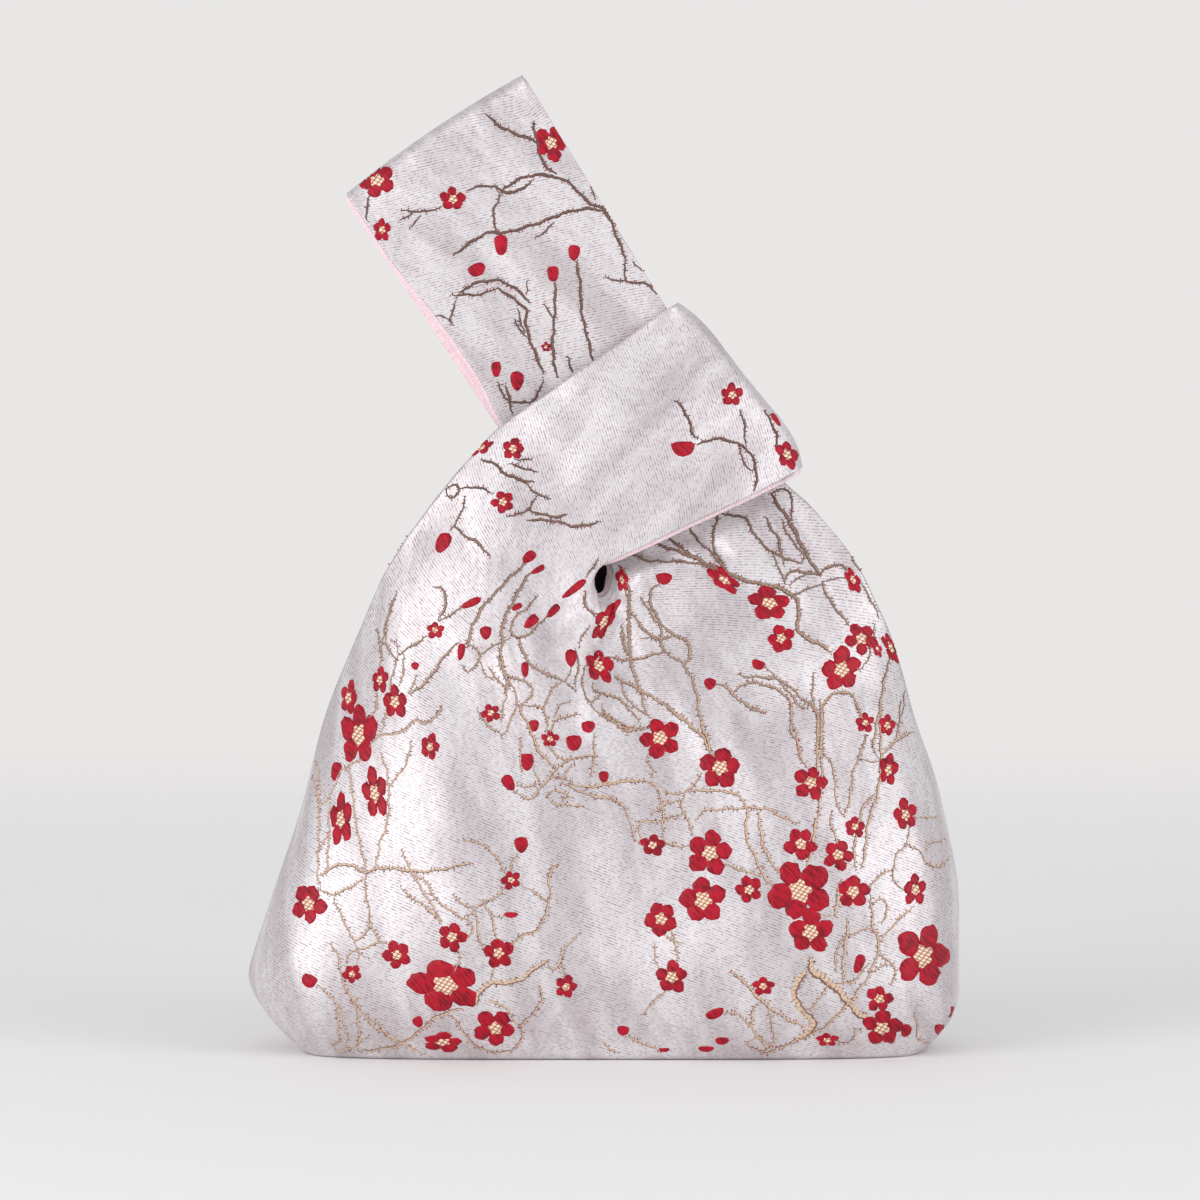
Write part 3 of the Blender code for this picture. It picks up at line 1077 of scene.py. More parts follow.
@dataclass
class PanelSheet:
    """One cloth sheet of the bag, made from a panel's middle surface."""

    name: str
    node: str
    shape: PanelShape
    side: Side
    outside: float
    inside: float
    levels: int
    lip: float
    drape: Drape
    skin: BVHTree = field(init=False, default=None)

    def build(self, material: bpy.types.Material) -> bpy.types.Object:
        """Makes the sheet.

        Args:
            material: Finish of the cloth.

        Returns:
            The finished sheet.
        """
        middle = self._middle_surface()
        sheet = self._thicken(middle)
        sheet.data.materials.append(material)
        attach(sheet, "root")
        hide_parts(self.node)
        LOG.info("%s: %d faces", self.name, len(sheet.data.polygons))
        return sheet

    def _middle_surface(self) -> bpy.types.Object:
        """Subdivided middle surface with its cloth coordinates.

        Returns:
            The surface as an object.
        """
        mesh = bpy.data.meshes.new(self.name + "_middle")
        mesh.from_pydata(self.shape.points.tolist(), [], self.shape.faces)
        layer = mesh.uv_layers.new(name="cloth")
        index = np.empty(len(mesh.loops), np.int32)
        mesh.loops.foreach_get("vertex_index", index)
        layer.data.foreach_set("uv", self.shape.cloth[index].astype(np.float32).ravel())
        piece = link_mesh(self.name, mesh)
        finer = piece.modifiers.new("finer", "SUBSURF")
        finer.levels = finer.render_levels = self.levels
        finer.boundary_smooth = "PRESERVE_CORNERS"
        finer.uv_smooth = "PRESERVE_BOUNDARIES"
        apply_modifiers(piece)
        return piece

    def _thicken(self, piece: bpy.types.Object) -> bpy.types.Object:
        """Turns the middle surface into a closed sheet with its creases.

        Args:
            piece: The middle surface.

        Returns:
            The same object with the sheet as its mesh.
        """
        mesh = piece.data
        count = len(mesh.vertices)
        points = np.empty(count * 3)
        mesh.vertices.foreach_get("co", points)
        points = points.reshape(-1, 3)
        quads = np.empty(len(mesh.loops), np.int32)
        mesh.loops.foreach_get("vertex_index", quads)
        quads = quads.reshape(-1, 4)
        uv = np.empty(len(mesh.loops) * 2, np.float32)
        mesh.uv_layers["cloth"].data.foreach_get("uv", uv)
        uv = uv.reshape(-1, 4, 2)
        where = np.zeros((count, 2), np.float32)
        where[quads.ravel()] = uv.reshape(-1, 2)
        normals = self._normals(points, quads)
        points = points + normals * self._relief(points, normals, where)[:, None]
        normals = self._normals(points, quads)
        border = self._border(quads)
        points = self._lengthen(points, where, normals, border)
        mirror = np.array((1.0, -self.side.value, 1.0))
        outer = (points + normals * self.outside) * mirror
        inner = (points + normals * self.inside) * mirror
        start, end = border.T
        walls = np.stack((end, start, start + count, end + count), axis=1)
        faces = np.concatenate((quads, quads[:, ::-1] + count, walls))
        both = np.concatenate((where, where))
        if self.side is Side.BACK:
            faces = faces[:, ::-1]
        self.skin = BVHTree.FromPolygons(outer.tolist(), faces[: len(quads)].tolist())
        solid = bpy.data.meshes.new(self.name)
        solid.from_pydata(np.concatenate((outer, inner)).tolist(), [], faces.tolist())
        layer = solid.uv_layers.new(name="cloth")
        layer.data.foreach_set("uv", both[faces.ravel()].ravel())
        solid.update()
        solid.shade_smooth()
        piece.data = solid
        bpy.data.meshes.remove(mesh)
        return piece

    def _normals(self, points: np.ndarray, quads: np.ndarray) -> np.ndarray:
        """Outward direction at each point, turned so that no layer crosses the seam plane.

        Args:
            points: The points.
            quads: Numbers of each face's points.

        Returns:
            One direction for each point.
        """
        cut = self.shape.cut
        a, b, c, d = (points[quads[:, i]] for i in range(4))
        facing = np.cross(c - a, d - b)
        total = np.zeros_like(points)
        for i in range(4):
            np.add.at(total, quads[:, i], facing)
        total /= np.linalg.norm(total, axis=1)[:, None]
        room = np.maximum(np.abs(points[:, 1]) - cut.clearance / 2, 0.0) / cut.stack
        depth = np.clip(total[:, 1], -room, room)
        rest = total[:, [0, 2]]
        length = np.maximum(np.linalg.norm(rest, axis=1), 1e-9)
        rest = rest * (np.sqrt(np.maximum(1 - depth ** 2, 0.0)) / length)[:, None]
        return np.stack((rest[:, 0], depth, rest[:, 1]), axis=1)

    def _relief(self, points: np.ndarray, normals: np.ndarray, where: np.ndarray) -> np.ndarray:
        """Height of the folds and creases over the middle surface.

        Args:
            points: The points.
            normals: Outward direction at each.
            where: Place of each on the cloth.

        Returns:
            The height at each point in metres.
        """
        x, z = points[:, 0], points[:, 2]
        climb = where[:, 1] - self.shape.strap_start
        facing = smooth(-normals[:, 1] * 1.6 - 0.2)
        free = smooth((-points[:, 1] - 0.002) / 0.004)
        held = smooth(points[:, 2] / 0.006)
        slow = 0.0006 * grain(x, z, 0.045, SEED + self.side.value)
        fine = 0.00017 * grain(x, z, 0.016, SEED + 5 + self.side.value)
        body = self.drape.body(x, z) * smooth((0.004 - climb) / 0.008)
        strap = self.drape.strap(where[:, 0], climb) * smooth((climb + 0.012) / 0.010)
        return (slow + fine + body + strap) * facing * free * held

    def _border(self, quads: np.ndarray) -> np.ndarray:
        """Edges with one face only, in the direction of that face.

        Args:
            quads: Numbers of each face's points.

        Returns:
            Numbers of the two points of each edge.
        """
        ends = np.concatenate([quads[:, [i, (i + 1) % 4]] for i in range(4)])
        size = int(quads.max()) + 1
        key = ends[:, 0].astype(np.int64) * size + ends[:, 1]
        back = ends[:, 1].astype(np.int64) * size + ends[:, 0]
        return ends[~np.isin(key, back)]

    def _lengthen(
        self, points: np.ndarray, where: np.ndarray, normals: np.ndarray, border: np.ndarray
    ) -> np.ndarray:
        """Lets the sheet stand out past its own edge by its lip, away from the seams.

        Args:
            points: The points.
            where: Place of each on the cloth.
            normals: Outward direction at each.
            border: Edges with one face only.

        Returns:
            The moved points.
        """
        if not self.lip:
            return points
        out = np.zeros_like(points)
        for a, b in ((0, 1), (1, 0)):
            run = points[border[:, 1]] - points[border[:, 0]]
            aside = np.cross(run, normals[border[:, a]])
            aside /= np.linalg.norm(aside, axis=1)[:, None] + 1e-12
            np.add.at(out, border[:, a], aside)
        length = np.linalg.norm(out, axis=1)
        moved = points.copy()
        clear = smooth((np.abs(points[:, 1]) - 0.002) / 0.002)
        neck = np.hypot(points[:, 0] + 0.004, 0.5 * (points[:, 2] - self.shape.cut.neck_height))
        clear *= 1 - 0.7 * np.exp(-((neck / 0.004) ** 2))
        clear *= 1 - 0.8 * smooth((np.abs(where[:, 0]) - 0.03) / 0.02)
        right = np.hypot(points[:, 0] - 0.0036, 0.45 * (points[:, 2] - 0.1585))
        clear *= 1 + 1.0 * np.exp(-((right / 0.0022) ** 2))
        at = length > 1e-9
        moved[at] += out[at] / length[at][:, None] * (self.lip * clear[at])[:, None]
        moved[at] += normals[at] * (0.5 * self.lip * clear[at])[:, None]
        return moved


# Figures of the pattern in tenths of a millimetre, across and up in the front view.
# A blossom: place, radius, turn of a petal, share left across its long axis, that axis.
# A bud: place, half its width, half its height, lean. A branch: kind, first place, steps.
BLOSSOMS = (
    (191, 1064, 70, -19, 100, 0), (392, 964, 74, 6, 100, 0), (358, 679, 77, 10, 100, 0),
    (167, 706, 44, 5, 85, 90), (335, 522, 84, -5, 100, 0), (194, 459, 60, -24, 100, 0),
    (489, 556, 47, -20, 100, 0), (659, 552, 107, -29, 100, 0), (693, 415, 77, 0, 100, 0),
    (837, 549, 60, 0, 100, 0), (787, 673, 54, 22, 100, 0), (663, 710, 57, -37, 100, 0),
    (696, 914, 60, 15, 100, 0), (843, 766, 37, 0, 100, 0), (877, 1115, 33, 0, 100, 0),
    (951, 1105, 37, 10, 80, 0), (954, 957, 56, 15, 62, 0), (1011, 807, 56, -10, 72, -8),
    (1044, 556, 56, 0, 72, 10), (1071, 335, 109, 16, 84, 0), (924, 191, 47, 10, 100, 0),
    (934, 94, 70, 0, 90, 90), (750, 54, 40, 0, 60, 90), (231, 264, 57, 0, 100, 0),
    (536, 234, 40, 0, 80, 90), (405, 1593, 67, 10, 50, 125), (556, 1516, 77, 0, 72, 100),
    (596, 1396, 50, -15, 100, 0), (837, 1593, 47, 0, 55, -25), (864, 1396, 54, -36, 100, 0),
    (797, 1292, 80, -7, 88, 20), (962, 1366, 62, 0, 34, -24), (917, 1362, 30, 0, 50, -20),
    (64, 1593, 44, 0, 50, -10), (-408, 2035, 47, 0, 45, 60), (-301, 2032, 40, 10, 100, 0),
    (-335, 1854, 40, -20, 100, 0), (-562, 1426, 30, 0, 100, 0), (-746, 1258, 46, 0, 62, 5),
    (-850, 1198, 60, 15, 48, 5), (-696, 1185, 60, 0, 72, 0), (-817, 1074, 109, 5, 56, 2),
    (-579, 1034, 46, 15, 72, 0), (-375, 1148, 33, -20, 100, 0), (-177, 1061, 30, 0, 100, 0),
    (-763, 877, 90, -10, 50, -6), (-877, 790, 92, -8, 44, 3), (-984, 509, 68, 30, 86, 0),
    (-689, 338, 52, -25, 90, -30), (-505, 398, 50, 15, 100, 0), (-529, 238, 126, -14, 72, 100),
    (-351, 345, 54, -10, 100, 0), (-308, 589, 33, -20, 100, 0), (-840, 274, 33, -30, 100, 0),
    (-361, 94, 70, 30, 90, 90), (-536, 47, 70, 10, 50, 90), (-124, 231, 40, 20, 100, 0),
    (2, 1452, 74, 18, 42, 28), (-13, 1305, 62, 0, 75, -25), (432, 2212, 40, 0, 100, 0),
    (616, 2012, 52, 10, 70, -25), (-756, 2929, 64, 48, 90, 60), (-525, 3139, 33, 0, 40, 60),
    (-174, 3056, 64, 20, 90, 0), (-502, 2868, 44, 0, 100, 0), (-740, 2765, 40, 0, 80, 0),
    (-191, 2373, 17, 0, 100, 0),
)
BUDS = (
    (579, 2129, 8, 28, -35), (40, 1500, 9, 34, 30),
    (857, 308, 17, 33, 20), (1014, 84, 17, 23, 20), (1168, 147, 17, 20, 20),
    (1128, 87, 20, 20, 0), (375, 141, 33, 17, -20), (67, 84, 20, 17, 0), (398, 50, 23, 13, 0),
    (345, 23, 27, 10, 0), (204, 20, 20, 7, 0), (3, 934, 17, 20, 0), (268, 2032, 40, 27, 0),
    (358, 1245, 20, 20, 0), (519, 1309, 23, 17, 20), (204, 1597, 27, 20, 0),
    (-536, 1717, 23, 37, 30), (-248, 1670, 17, 27, 50), (-218, 1627, 10, 27, 60),
    (-442, 1516, 13, 37, 65), (-288, 1503, 10, 20, 60), (-241, 1453, 17, 30, 45),
    (-167, 1489, 13, 30, 45), (-392, 1416, 20, 23, 0), (-475, 1352, 13, 30, 8),
    (-261, 1292, 13, 27, 0), (-107, 1332, 20, 30, 0), (-97, 1563, 13, 50, 52),
    (-629, 1305, 13, 13, 0), (-231, 1105, 17, 20, 0), (-97, 1048, 27, 27, 0),
    (-50, 1101, 23, 20, 0), (-254, 984, 23, 30, 0), (-894, 951, 17, 33, 10),
    (-274, 706, 23, 27, 0), (-308, 472, 23, 10, 0), (-984, 251, 27, 23, 20),
    (-619, 114, 17, 20, -30), (-315, 914, 20, 30, -30), (-341, 2714, 23, 37, 0),
    (-422, 2631, 30, 23, -20), (-167, 2617, 20, 27, 0), (-97, 2688, 20, 27, 0),
    (-358, 2299, 17, 27, 0), (-288, 2259, 23, 33, 0),
)
BRANCHES = """
1 -979,955 13,-41 10,-32 6,-41 0,-106 -4,-73 -2,-58 10,-44
1 -960,989 10,-42 2,-65 -2,-57
1 -771,1053 -12,-33 -32,-36 -41,-9 -25,-28 -20,-41 -12,-41 -25,-24 -12,-12
1 -848,963 8,-73 8,-65 8,-66 17,-73 12,-49 4,-26
1 -856,975 41,-4
1 -746,1016 20,-45 8,-49 2,-57 0,-57 -10,-49 -20,-40 -8,-49 -8,-43
1 -644,1053 -4,-49 -21,-49 -32,-33 -17,-24
2 -538,1175 -25,-49 -32,-16 -25,16 -24,-12 -25,-28 -24,-10 -41,5 -33,-28
1 -595,1155 -17,-37
1 -913,849 -7,-57 8,-41 -22,-36 -18,-25
1 -912,751 -9,-49 1,-73 -18,-26
2 -946,603 33,26 49,18 40,-18 33,-18 33,18 49,0 57,-8 40,-5 49,5 49,8 33,11 41,7
1 -677,690 21,-37 8,-32 20,-29 33,-53 28,-41 27,-48
1 -648,621 53,-33 24,-41 8,-22 41,-31 41,-28 32,-8
1 -677,560 33,-29 49,-28 32,-33 23,-29
1 -563,525 33,14
1 -506,539 41,-32 33,-17 24,25 41,8 33,33 12,20
1 -469,719 37,1 41,-18 32,-32 25,-41 12,-20
1 -285,678 -21,-33 -4,-28
1 -269,568 41,-21 32,-24 12,-10
2 -147,637 -28,-8 -9,-41 11,-41 -11,-49 -12,-32 -16,-41 -33,-16 -40,-12 -21,-25
1 -424,490 4,-57 8,-57 16,-16
1 -400,515 25,-41 12,-41 4,-45
1 -375,474 28,-10 21,6
1 -432,489 -25,-31 25,-25 -8,-24 -17,-21
3 -424,172 8,41 33,31 49,2 40,0 41,24 33,33 34,14
1 -186,317 15,-31 24,9 8,49 25,32 32,33
1 -139,311 13,-49
1 -216,238 16,-41 -20,-41 -33,-33 -24,-24 12,-41 -29,-32 -40,-17 -66,8 -49,33 -24,41 -24,32
    -29,21
1 -383,185 49,-13 24,-32 29,-41
2 -469,160 -53,-14 -49,-23 -49,-48 -57,-37 -57,-14 -73,-8
1 -791,140 41,-33 41,-49 48,-24 58,-25
1 -909,376 24,-41 8,-57 13,-49 32,-48 12,-49 5,-66 -5,-49
1 -954,233 41,-28 24,-33 2,-65 5,-57
1 -864,229 49,-65 32,-57 57,-32 33,-33
1 -882,50 -23,-10 16,-29 33,6 36,29 37,22
1 -882,50 26,4 4,-37
1 -889,498 16,-32 17,-41 24,-41 25,8 24,41 2,41 -10,49 -8,49 8,39
1 -781,458 14,-41 21,-34
1 -954,556 24,-9 33,-8 33,17 40,20 21,16
1 -844,613 0,-26
1 -897,539 -4,-32 12,-13
1 -860,311 4,33 32,8 41,16 33,12 28,0
1 -824,352 17,-17 24,-4
1 -832,384 17,-32 -9,-49
1 -485,368 8,-41 -20,-49
1 -359,299 -20,-45
1 -326,291 20,-25
1 -881,172 13,-57 16,-61
1 -343,376 -8,12
1 -44,874 49,-5 41,-8 33,-36 12,-41 12,-49 21,-29
1 -44,898 66,12 57,8 57,4 41,-12 16,-45 8,-40 0,-74
1 152,1012 -4,-32 25,-25 -13,-26
1 201,882 33,-4 40,0 41,44 17,25
1 274,878 -12,-29 8,-41 21,-24 8,-49
1 270,816 -44,-26 -66,-6 -49,0
1 160,808 41,33 57,18
2 291,888 57,2 49,-4 41,-3 32,-26 16,-32 -8,-57 0,-33 17,-41 24,-41 8,-40 49,-51
2 519,816 8,-57 8,-57 25,-49 34,-47
1 315,792 12,29 53,4 66,4 73,4 49,-12 41,-29 49,-12
2 201,1183 33,-32 49,-37 32,-24 25,-29 16,-41 16,-20
1 323,1143 17,-41 4,-41
1 462,1192 33,-25 53,-20
1 62,1102 41,-4 41,-3 16,19
1 -3,1143 41,-25 41,-32 41,14
1 124,788 -4,-45 24,-33
1 201,747 8,-37 41,-8 42,2
1 397,647 49,-18 40,-16 41,-9
1 242,458 41,8
1 226,425 16,-41 8,-49 -7,-28
1 177,376 -7,-49 19,-32
1 201,405 25,-13 44,-16
1 213,221 -36,-32 -29,-29 -12,-24
2 425,282 37,-20 33,-41 32,-34 49,-39 57,-33 45,-18
1 409,146 53,-5 24,-34 25,-32 49,-41 16,-17
1 519,181 -24,-41 4,-49 28,-41 33,-24 -33,-13 -49,21 4,16 45,16
1 552,181 12,-74 12,-41 -18,-40
1 560,144 26,-4
4 694,331 0,-45 45,-26 41,-31 41,-48 32,-41 41,-18
4 641,50 53,33 17,24 -29,29 -32,36 -13,41 13,41 32,24
2 833,187 -53,-55 -41,-41 -32,-15 -49,-18 -49,-24 -49,-21 -33,-5
1 760,254 -29,-57 -33,-37 -32,-20
1 886,311 -24,-41 -33,-26 -33,-2
1 902,286 -40,-57 -33,-48
2 819,458 -2,-49 -8,-49 -5,-49 -1,-65
1 813,401 -25,-25 -12,-49 4,-49
1 813,401 40,16 45,12
2 894,539 8,-57 -1,-53 26,-45 -7,-40 -11,-37 -23,-29
1 927,384 32,41 33,37 45,36
1 902,507 25,28 26,-28 -6,-53 -28,-6
1 920,352 19,-26 29,-15 16,-25 -21,-48
1 906,286 37,21 33,-3
1 968,621 -49,-17 -17,-32 -24,-26
1 1016,710 -40,-40 -8,-82 32,-34 25,16
1 1016,710 49,-26 17,-39 40,-20 49,53
1 1026,768 -5,-33 -5,-25
1 1045,799 53,-3 59,20
1 1075,841 5,-41
1 1074,686 8,24 40,10 45,15
1 1131,768 22,-10 9,14
2 727,1192 4,-66 -2,-98 6,-81 -8,-82 -4,-49 -16,-57 -7,-65 -18,-61
1 674,1192 41,-37 6,-61 -6,-90 4,-53
1 625,1175 4,-57 21,-49 9,-65 23,-39
1 645,1192 13,-33 16,24
1 731,1020 33,-32 12,-57 4,-98 29,-26
1 764,821 -4,-37 16,-49 19,-41
1 878,1069 -16,-57 -25,-57 -8,-65 -8,-57 -15,-29
1 853,996 41,-12 33,4
1 894,1057 29,-65
2 931,1192 -4,-90 4,-98 -4,-82 -12,-65 -21,-49 -12,-57 -4,-65 -12,-57
2 910,878 -44,-45 -13,-65 -12,-58 -2,-48 10,-33
1 996,1192 -2,-49 -9,-74
2 935,1012 33,29 17,22 68,27
1 841,1192 21,-41 6,-33
1 894,507 -16,39
3 796,592 -8,-53 -12,-69
1 719,486 20,-20 37,4
1 79,70 41,-24 34,-8 39,-22
1 -3,50 25,-26 36,-15
1 144,60 10,-22
1 226,50 17,-28
1 413,42 2,-29
1 862,83 -25,16 10,-37 -26,-20 -49,8
1 1041,140 12,-41 -4,-41 41,-16 49,20
1 1025,75 1,-41
1 968,35 28,-14
2 690,474 13,24
1 -690,1554 -20,-59 -14,-48 -4,-62 11,-34 24,-20
1 -700,1530 -21,-55 -15,-69 -7,-75 -5,-55
1 -755,1427 8,-55 4,-28
1 -710,1392 20,-3 2,-38
2 -756,1214 1,-34 -12,-35 -15,-15
2 -683,1343 31,22 34,20 29,20
1 -684,1344 -15,-48 -11,-41 -5,-41 -4,-34 -12,-62 -12,-35
1 -667,1344 1,-41 -7,-41 -8,-26
1 -638,1305 -28,5
2 -645,1210 41,30 34,36 28,48 27,34 35,27
1 -625,1276 -13,-42 -8,-20
2 -552,1458 20,34 9,38 -12,34 -35,7
1 -549,1454 41,24 41,26
2 -261,1646 -27,-24 -41,-37 -28,-35 -48,-48 -20,-41 -21,-41 -6,-55
2 -240,1619 -28,-34 -20,-42 -21,-41 -20,-34 -11,-41 4,-35 -7,-41 7,-48 14,-48 1,-48
1 -271,1571 24,7
1 -218,1543 -22,-34 -48,-34 -21,-28 4,-41 37,-10 35,31 27,27 24,26
2 -281,1399 10,-41 17,-34 35,-35 41,-13 41,-21
1 -276,1440 5,-34
1 -353,1482 -17,-35
1 -452,1385 27,-20 13,-22 0,-26 -27,-21 -19,-17 -15,31
1 -412,1343 35,21 27,21 41,11
1 -412,1317 17,-41 31,-21
1 -384,1303 20,-34 28,-21 10,-34
1 -350,1344 7,-41 17,-27 38,-14 55,-21 -4,-34 -24,-27 -15,-4
1 -321,1207 -14,-41 -5,-45
1 -316,1262 21,-41 12,-41 -19,-42 -24,-55 -14,-15
1 -419,1159 14,-34 41,-35 26,-17
1 -353,1180 17,24
2 -283,1176 15,-38 28,-48 14,-48 20,-34 48,-45
1 -274,1173 55,0 27,-21 8,-34 -8,-35
1 -137,1255 -34,-27 -21,-42 -3,-34
1 -137,1255 24,-10 24,-24
1 -104,1303 -4,-20 -22,-28
1 -184,1063 16,55 31,17 55,7
1 -168,1131 24,49 34,6
1 -184,1049 19,-41 28,-14 41,0 34,14 38,-7
1 -32,1077 5,-76 -7,-48 -14,-24
1 -281,1063 10,-41 -10,-42 13,-27
1 -233,960 14,-28 12,-24
1 -298,891 37,-34 35,10 15,31 33,34 20,31 24,17 42,18
1 -288,905 34,-4 47,11
1 -192,919 48,27 21,-27 41,-14 27,-8 55,15 62,7 62,5
1 -137,912 41,-15 34,-20 55,-13 48,-7
1 -189,871 24,-29 55,-2 45,-4
1 -189,871 31,26 55,-33 -34,-7
1 -96,980 -24,-27 -20,-28
1 -79,1365 7,48 31,24
1 -62,1303 -10,-55 10,-41 21,-27 34,27
1 -96,1365 19,-48 -13,-41 -2,-42
1 -34,1248 1,-27 33,-7 28,-7 27,-14 28,-27 41,-48
1 35,1269 34,-14 48,-29
1 -55,1557 -11,-44 39,-38 20,5
1 0,1337 41,-6 50,-7
1 69,1598 17,-75 -3,-89 8,-76 5,-55 18,-48
1 68,1434 2,-69 21,-34
1 -3,1180 3,-31 41,-24 42,-21 0,-27
1 -41,1180 21,-35 61,-27
2 100,1678 39,-18 49,-7 64,4 57,-7 49,-14 28,-13
2 171,1717 31,-11 50,-17 57,-25 49,-21 43,-20
2 217,1742 35,-36 42,-28 57,-32 43,-23
2 287,1777 15,-35 35,-36 35,-28 29,-42 22,-23
2 386,1820 -7,-36 -14,-49 7,-43 22,-35 24,-36
3 401,1634 22,-21 34,-16 43,-12 49,-10 50,-10 32,-21 26,-25 -3,-46 -6,-50 32,-25 46,-19 39,-28
2 397,1816 32,-10 35,5 25,-27 18,-42 28,-28 28,-29 29,-8 25,-17 46,-10
1 443,1841 16,-30
2 542,1806 21,-43 27,-32 5,-46 11,-42
3 563,1880 29,-46 28,-36 21,-42 29,-57 28,-49 30,-43
1 563,1880 16,16 34,0 23,-21 -7,-41 5,-43
1 666,1917 9,-19 -25,7 2,-29 -11,-31
1 599,1795 14,-46 35,-43 27,-29 -9,-27
1 567,1682 18,-39 10,-29 15,-31
2 610,1579 -4,32 42,16 43,-14 35,-2
1 624,1575 39,32 35,14
1 627,1537 43,19 28,14 35,9
1 666,1551 -3,-43
2 726,1614 29,25 35,9 32,-25
1 733,1586 43,13 39,0
2 733,1586 15,-46 28,-39 28,-35 21,-25
1 868,1579 18,-35 24,-43 15,-35
1 822,1699 11,-35 28,-43
2 54,1643 24,-36 11,-56 0,-57 0,-71 0,-64 7,-63 21,-50 15,-35 3,-36 12,-35
2 188,1578 -32,-20 0,-36 24,-56 15,-16 0,-83 22,-22
2 96,1480 28,-36 36,-42 35,-7 36,7
2 195,1450 29,-37 42,-12 25,-27 3,-36 -21,-27
1 124,1398 50,0
2 61,1321 42,7 43,7 28,10 35,11
1 124,1537 23,-32 20,-39 25,-22
1 61,1441 1,-46 21,-50
2 217,1345 28,-17 28,-17 29,-58 14,-42 5,-64 12,-49 25,-57 7,-43
2 40,1271 42,-25 50,-28 56,-28 43,-36 42,-28 36,-36 24,-21
1 59,1257 10,-46 27,-36 36,-21 22,-21
1 -10,1211 42,-4 43,-25 21,-21
1 -3,1154 35,-35 43,-36 42,13 30,7
1 107,1140 2,-42
2 381,1246 16,2 32,-30 28,-28 43,-29 39,-14
2 443,1221 21,25 50,6 35,-13 43,-14 28,-28 16,-36 -10,-49 10,-43 20,-28 3,-50
2 454,1278 25,-11 49,2 50,-5 49,-26 36,-41 42,-23 16,-27 -2,-71 -5,-63
1 707,1282 -9,-71 9,-36
1 588,1253 39,-39 29,-46 31,-7
2 732,991 -2,57 5,64 -2,63 22,29 42,17 36,-10 21,-43 8,-39
2 964,1338 -18,-56 -13,-71 -8,-57 -15,-71 -7,-63
1 910,1444 -7,-49 -12,-64 -20,-28
1 1017,1246 -13,-39 7,-19 -16,-62 -14,-64
1 882,1076 -7,-35 -20,-43
1 539,1303 17,-14 20,-18
1 850,1324 -3,-42 24,21
2 -392,3153 41,-40 49,-24 49,-16 40,-18
2 -233,3130 3,-33 13,-45 6,-45 23,-34 33,-23
2 -217,2950 45,-9 41,-3 49,-45 33,-40 40,-10 29,-31 20,-57 25,-57 12,-33
1 -214,3171 -15,-37
1 -677,2828 40,0 49,-4 49,19
1 -681,2795 44,25
1 -649,2771 41,41
2 -457,2897 41,13 49,4 28,-22 53,-3 49,41
2 -343,2889 20,21 53,32 53,8 37,0
1 -347,2893 -4,-40 -21,-25 13,-57 6,-20
2 -502,2677 45,37 49,31 32,14 49,-6 57,18 66,20 57,25 57,16 57,4 41,-10
1 -225,2738 37,25 26,28
1 -43,2910 20,-45
2 -90,2661 16,-78 0,-89 16,-65 17,-66 8,-49
2 -160,2588 0,-78 -4,-65 -6,-65 6,-57 9,-53
1 -196,2518 20,-42 12,-7
1 -506,2547 41,0 49,0 40,12 21,12
2 -355,2571 45,-28 32,-26 26,-17 -9,-39 14,-61 26,-61 21,-57
1 -200,2266 -21,-66 -40,-18 -41,8 -31,9 -17,58
2 -482,2551 41,32 57,13 41,0 41,-21 41,-32 14,-25
1 -502,2445 -12,24 24,61
1 -575,2477 44,-1 23,-19
1 -380,2626 22,-33
1 -253,2596 -4,-49
1 -294,2469 12,-42 30,-21
1 -286,2502 10,-45 15,-37
2 -325,2245 13,-53 8,-42
1 -274,2221 13,-35
2 -119,2343 12,-45 18,-18
1 8,2604 57,-12 57,-4 34,-6 31,-43
1 77,2661 -8,-49 8,-19
1 97,2657 33,-23 16,-34
1 146,2582 -10,-33
1 -779,2881 -12,-28 1,-58
1 -863,2853 24,-41 48,-33
1 -526,1900 27,15 20,-13 -7,-29 -31,-9 -9,36
1 -479,1898 61,9 49,-25
1 -459,1875 -11,-45 -20,-45 -23,-27
2 -499,1774 36,-34 45,-20 27,-34 13,-14
2 -409,1994 40,-4 30,-34 29,-18 45,-13 36,-5
1 -296,1997 58,-2
1 -319,1983 45,-13 56,-18
1 -256,1916 36,-41 47,-9
1 -220,1875 -27,-45 -36,-20 -40,-3
2 -247,1828 45,-18 54,-7 29,9
2 -256,1794 54,0 54,-5 45,-18 54,5 35,13
1 -245,1792 -4,-32
1 -204,1792 18,-30
2 240,2195 25,-23 24,-45 9,-45 21,-16
2 314,2044 43,20 45,2 45,-15 36,-18 25,-41 7,-63 -7,-38
1 458,2165 16,-47 2,-72
1 458,2046 5,-54 36,-36
2 539,2162 25,-44 18,-36 -2,-36 13,-40
1 598,1974 7,-27
1 -13,1668 -18,-29 -25,-39
1 -65,1542 7,-45 36,-27
1 -450,1994 41,0
"""


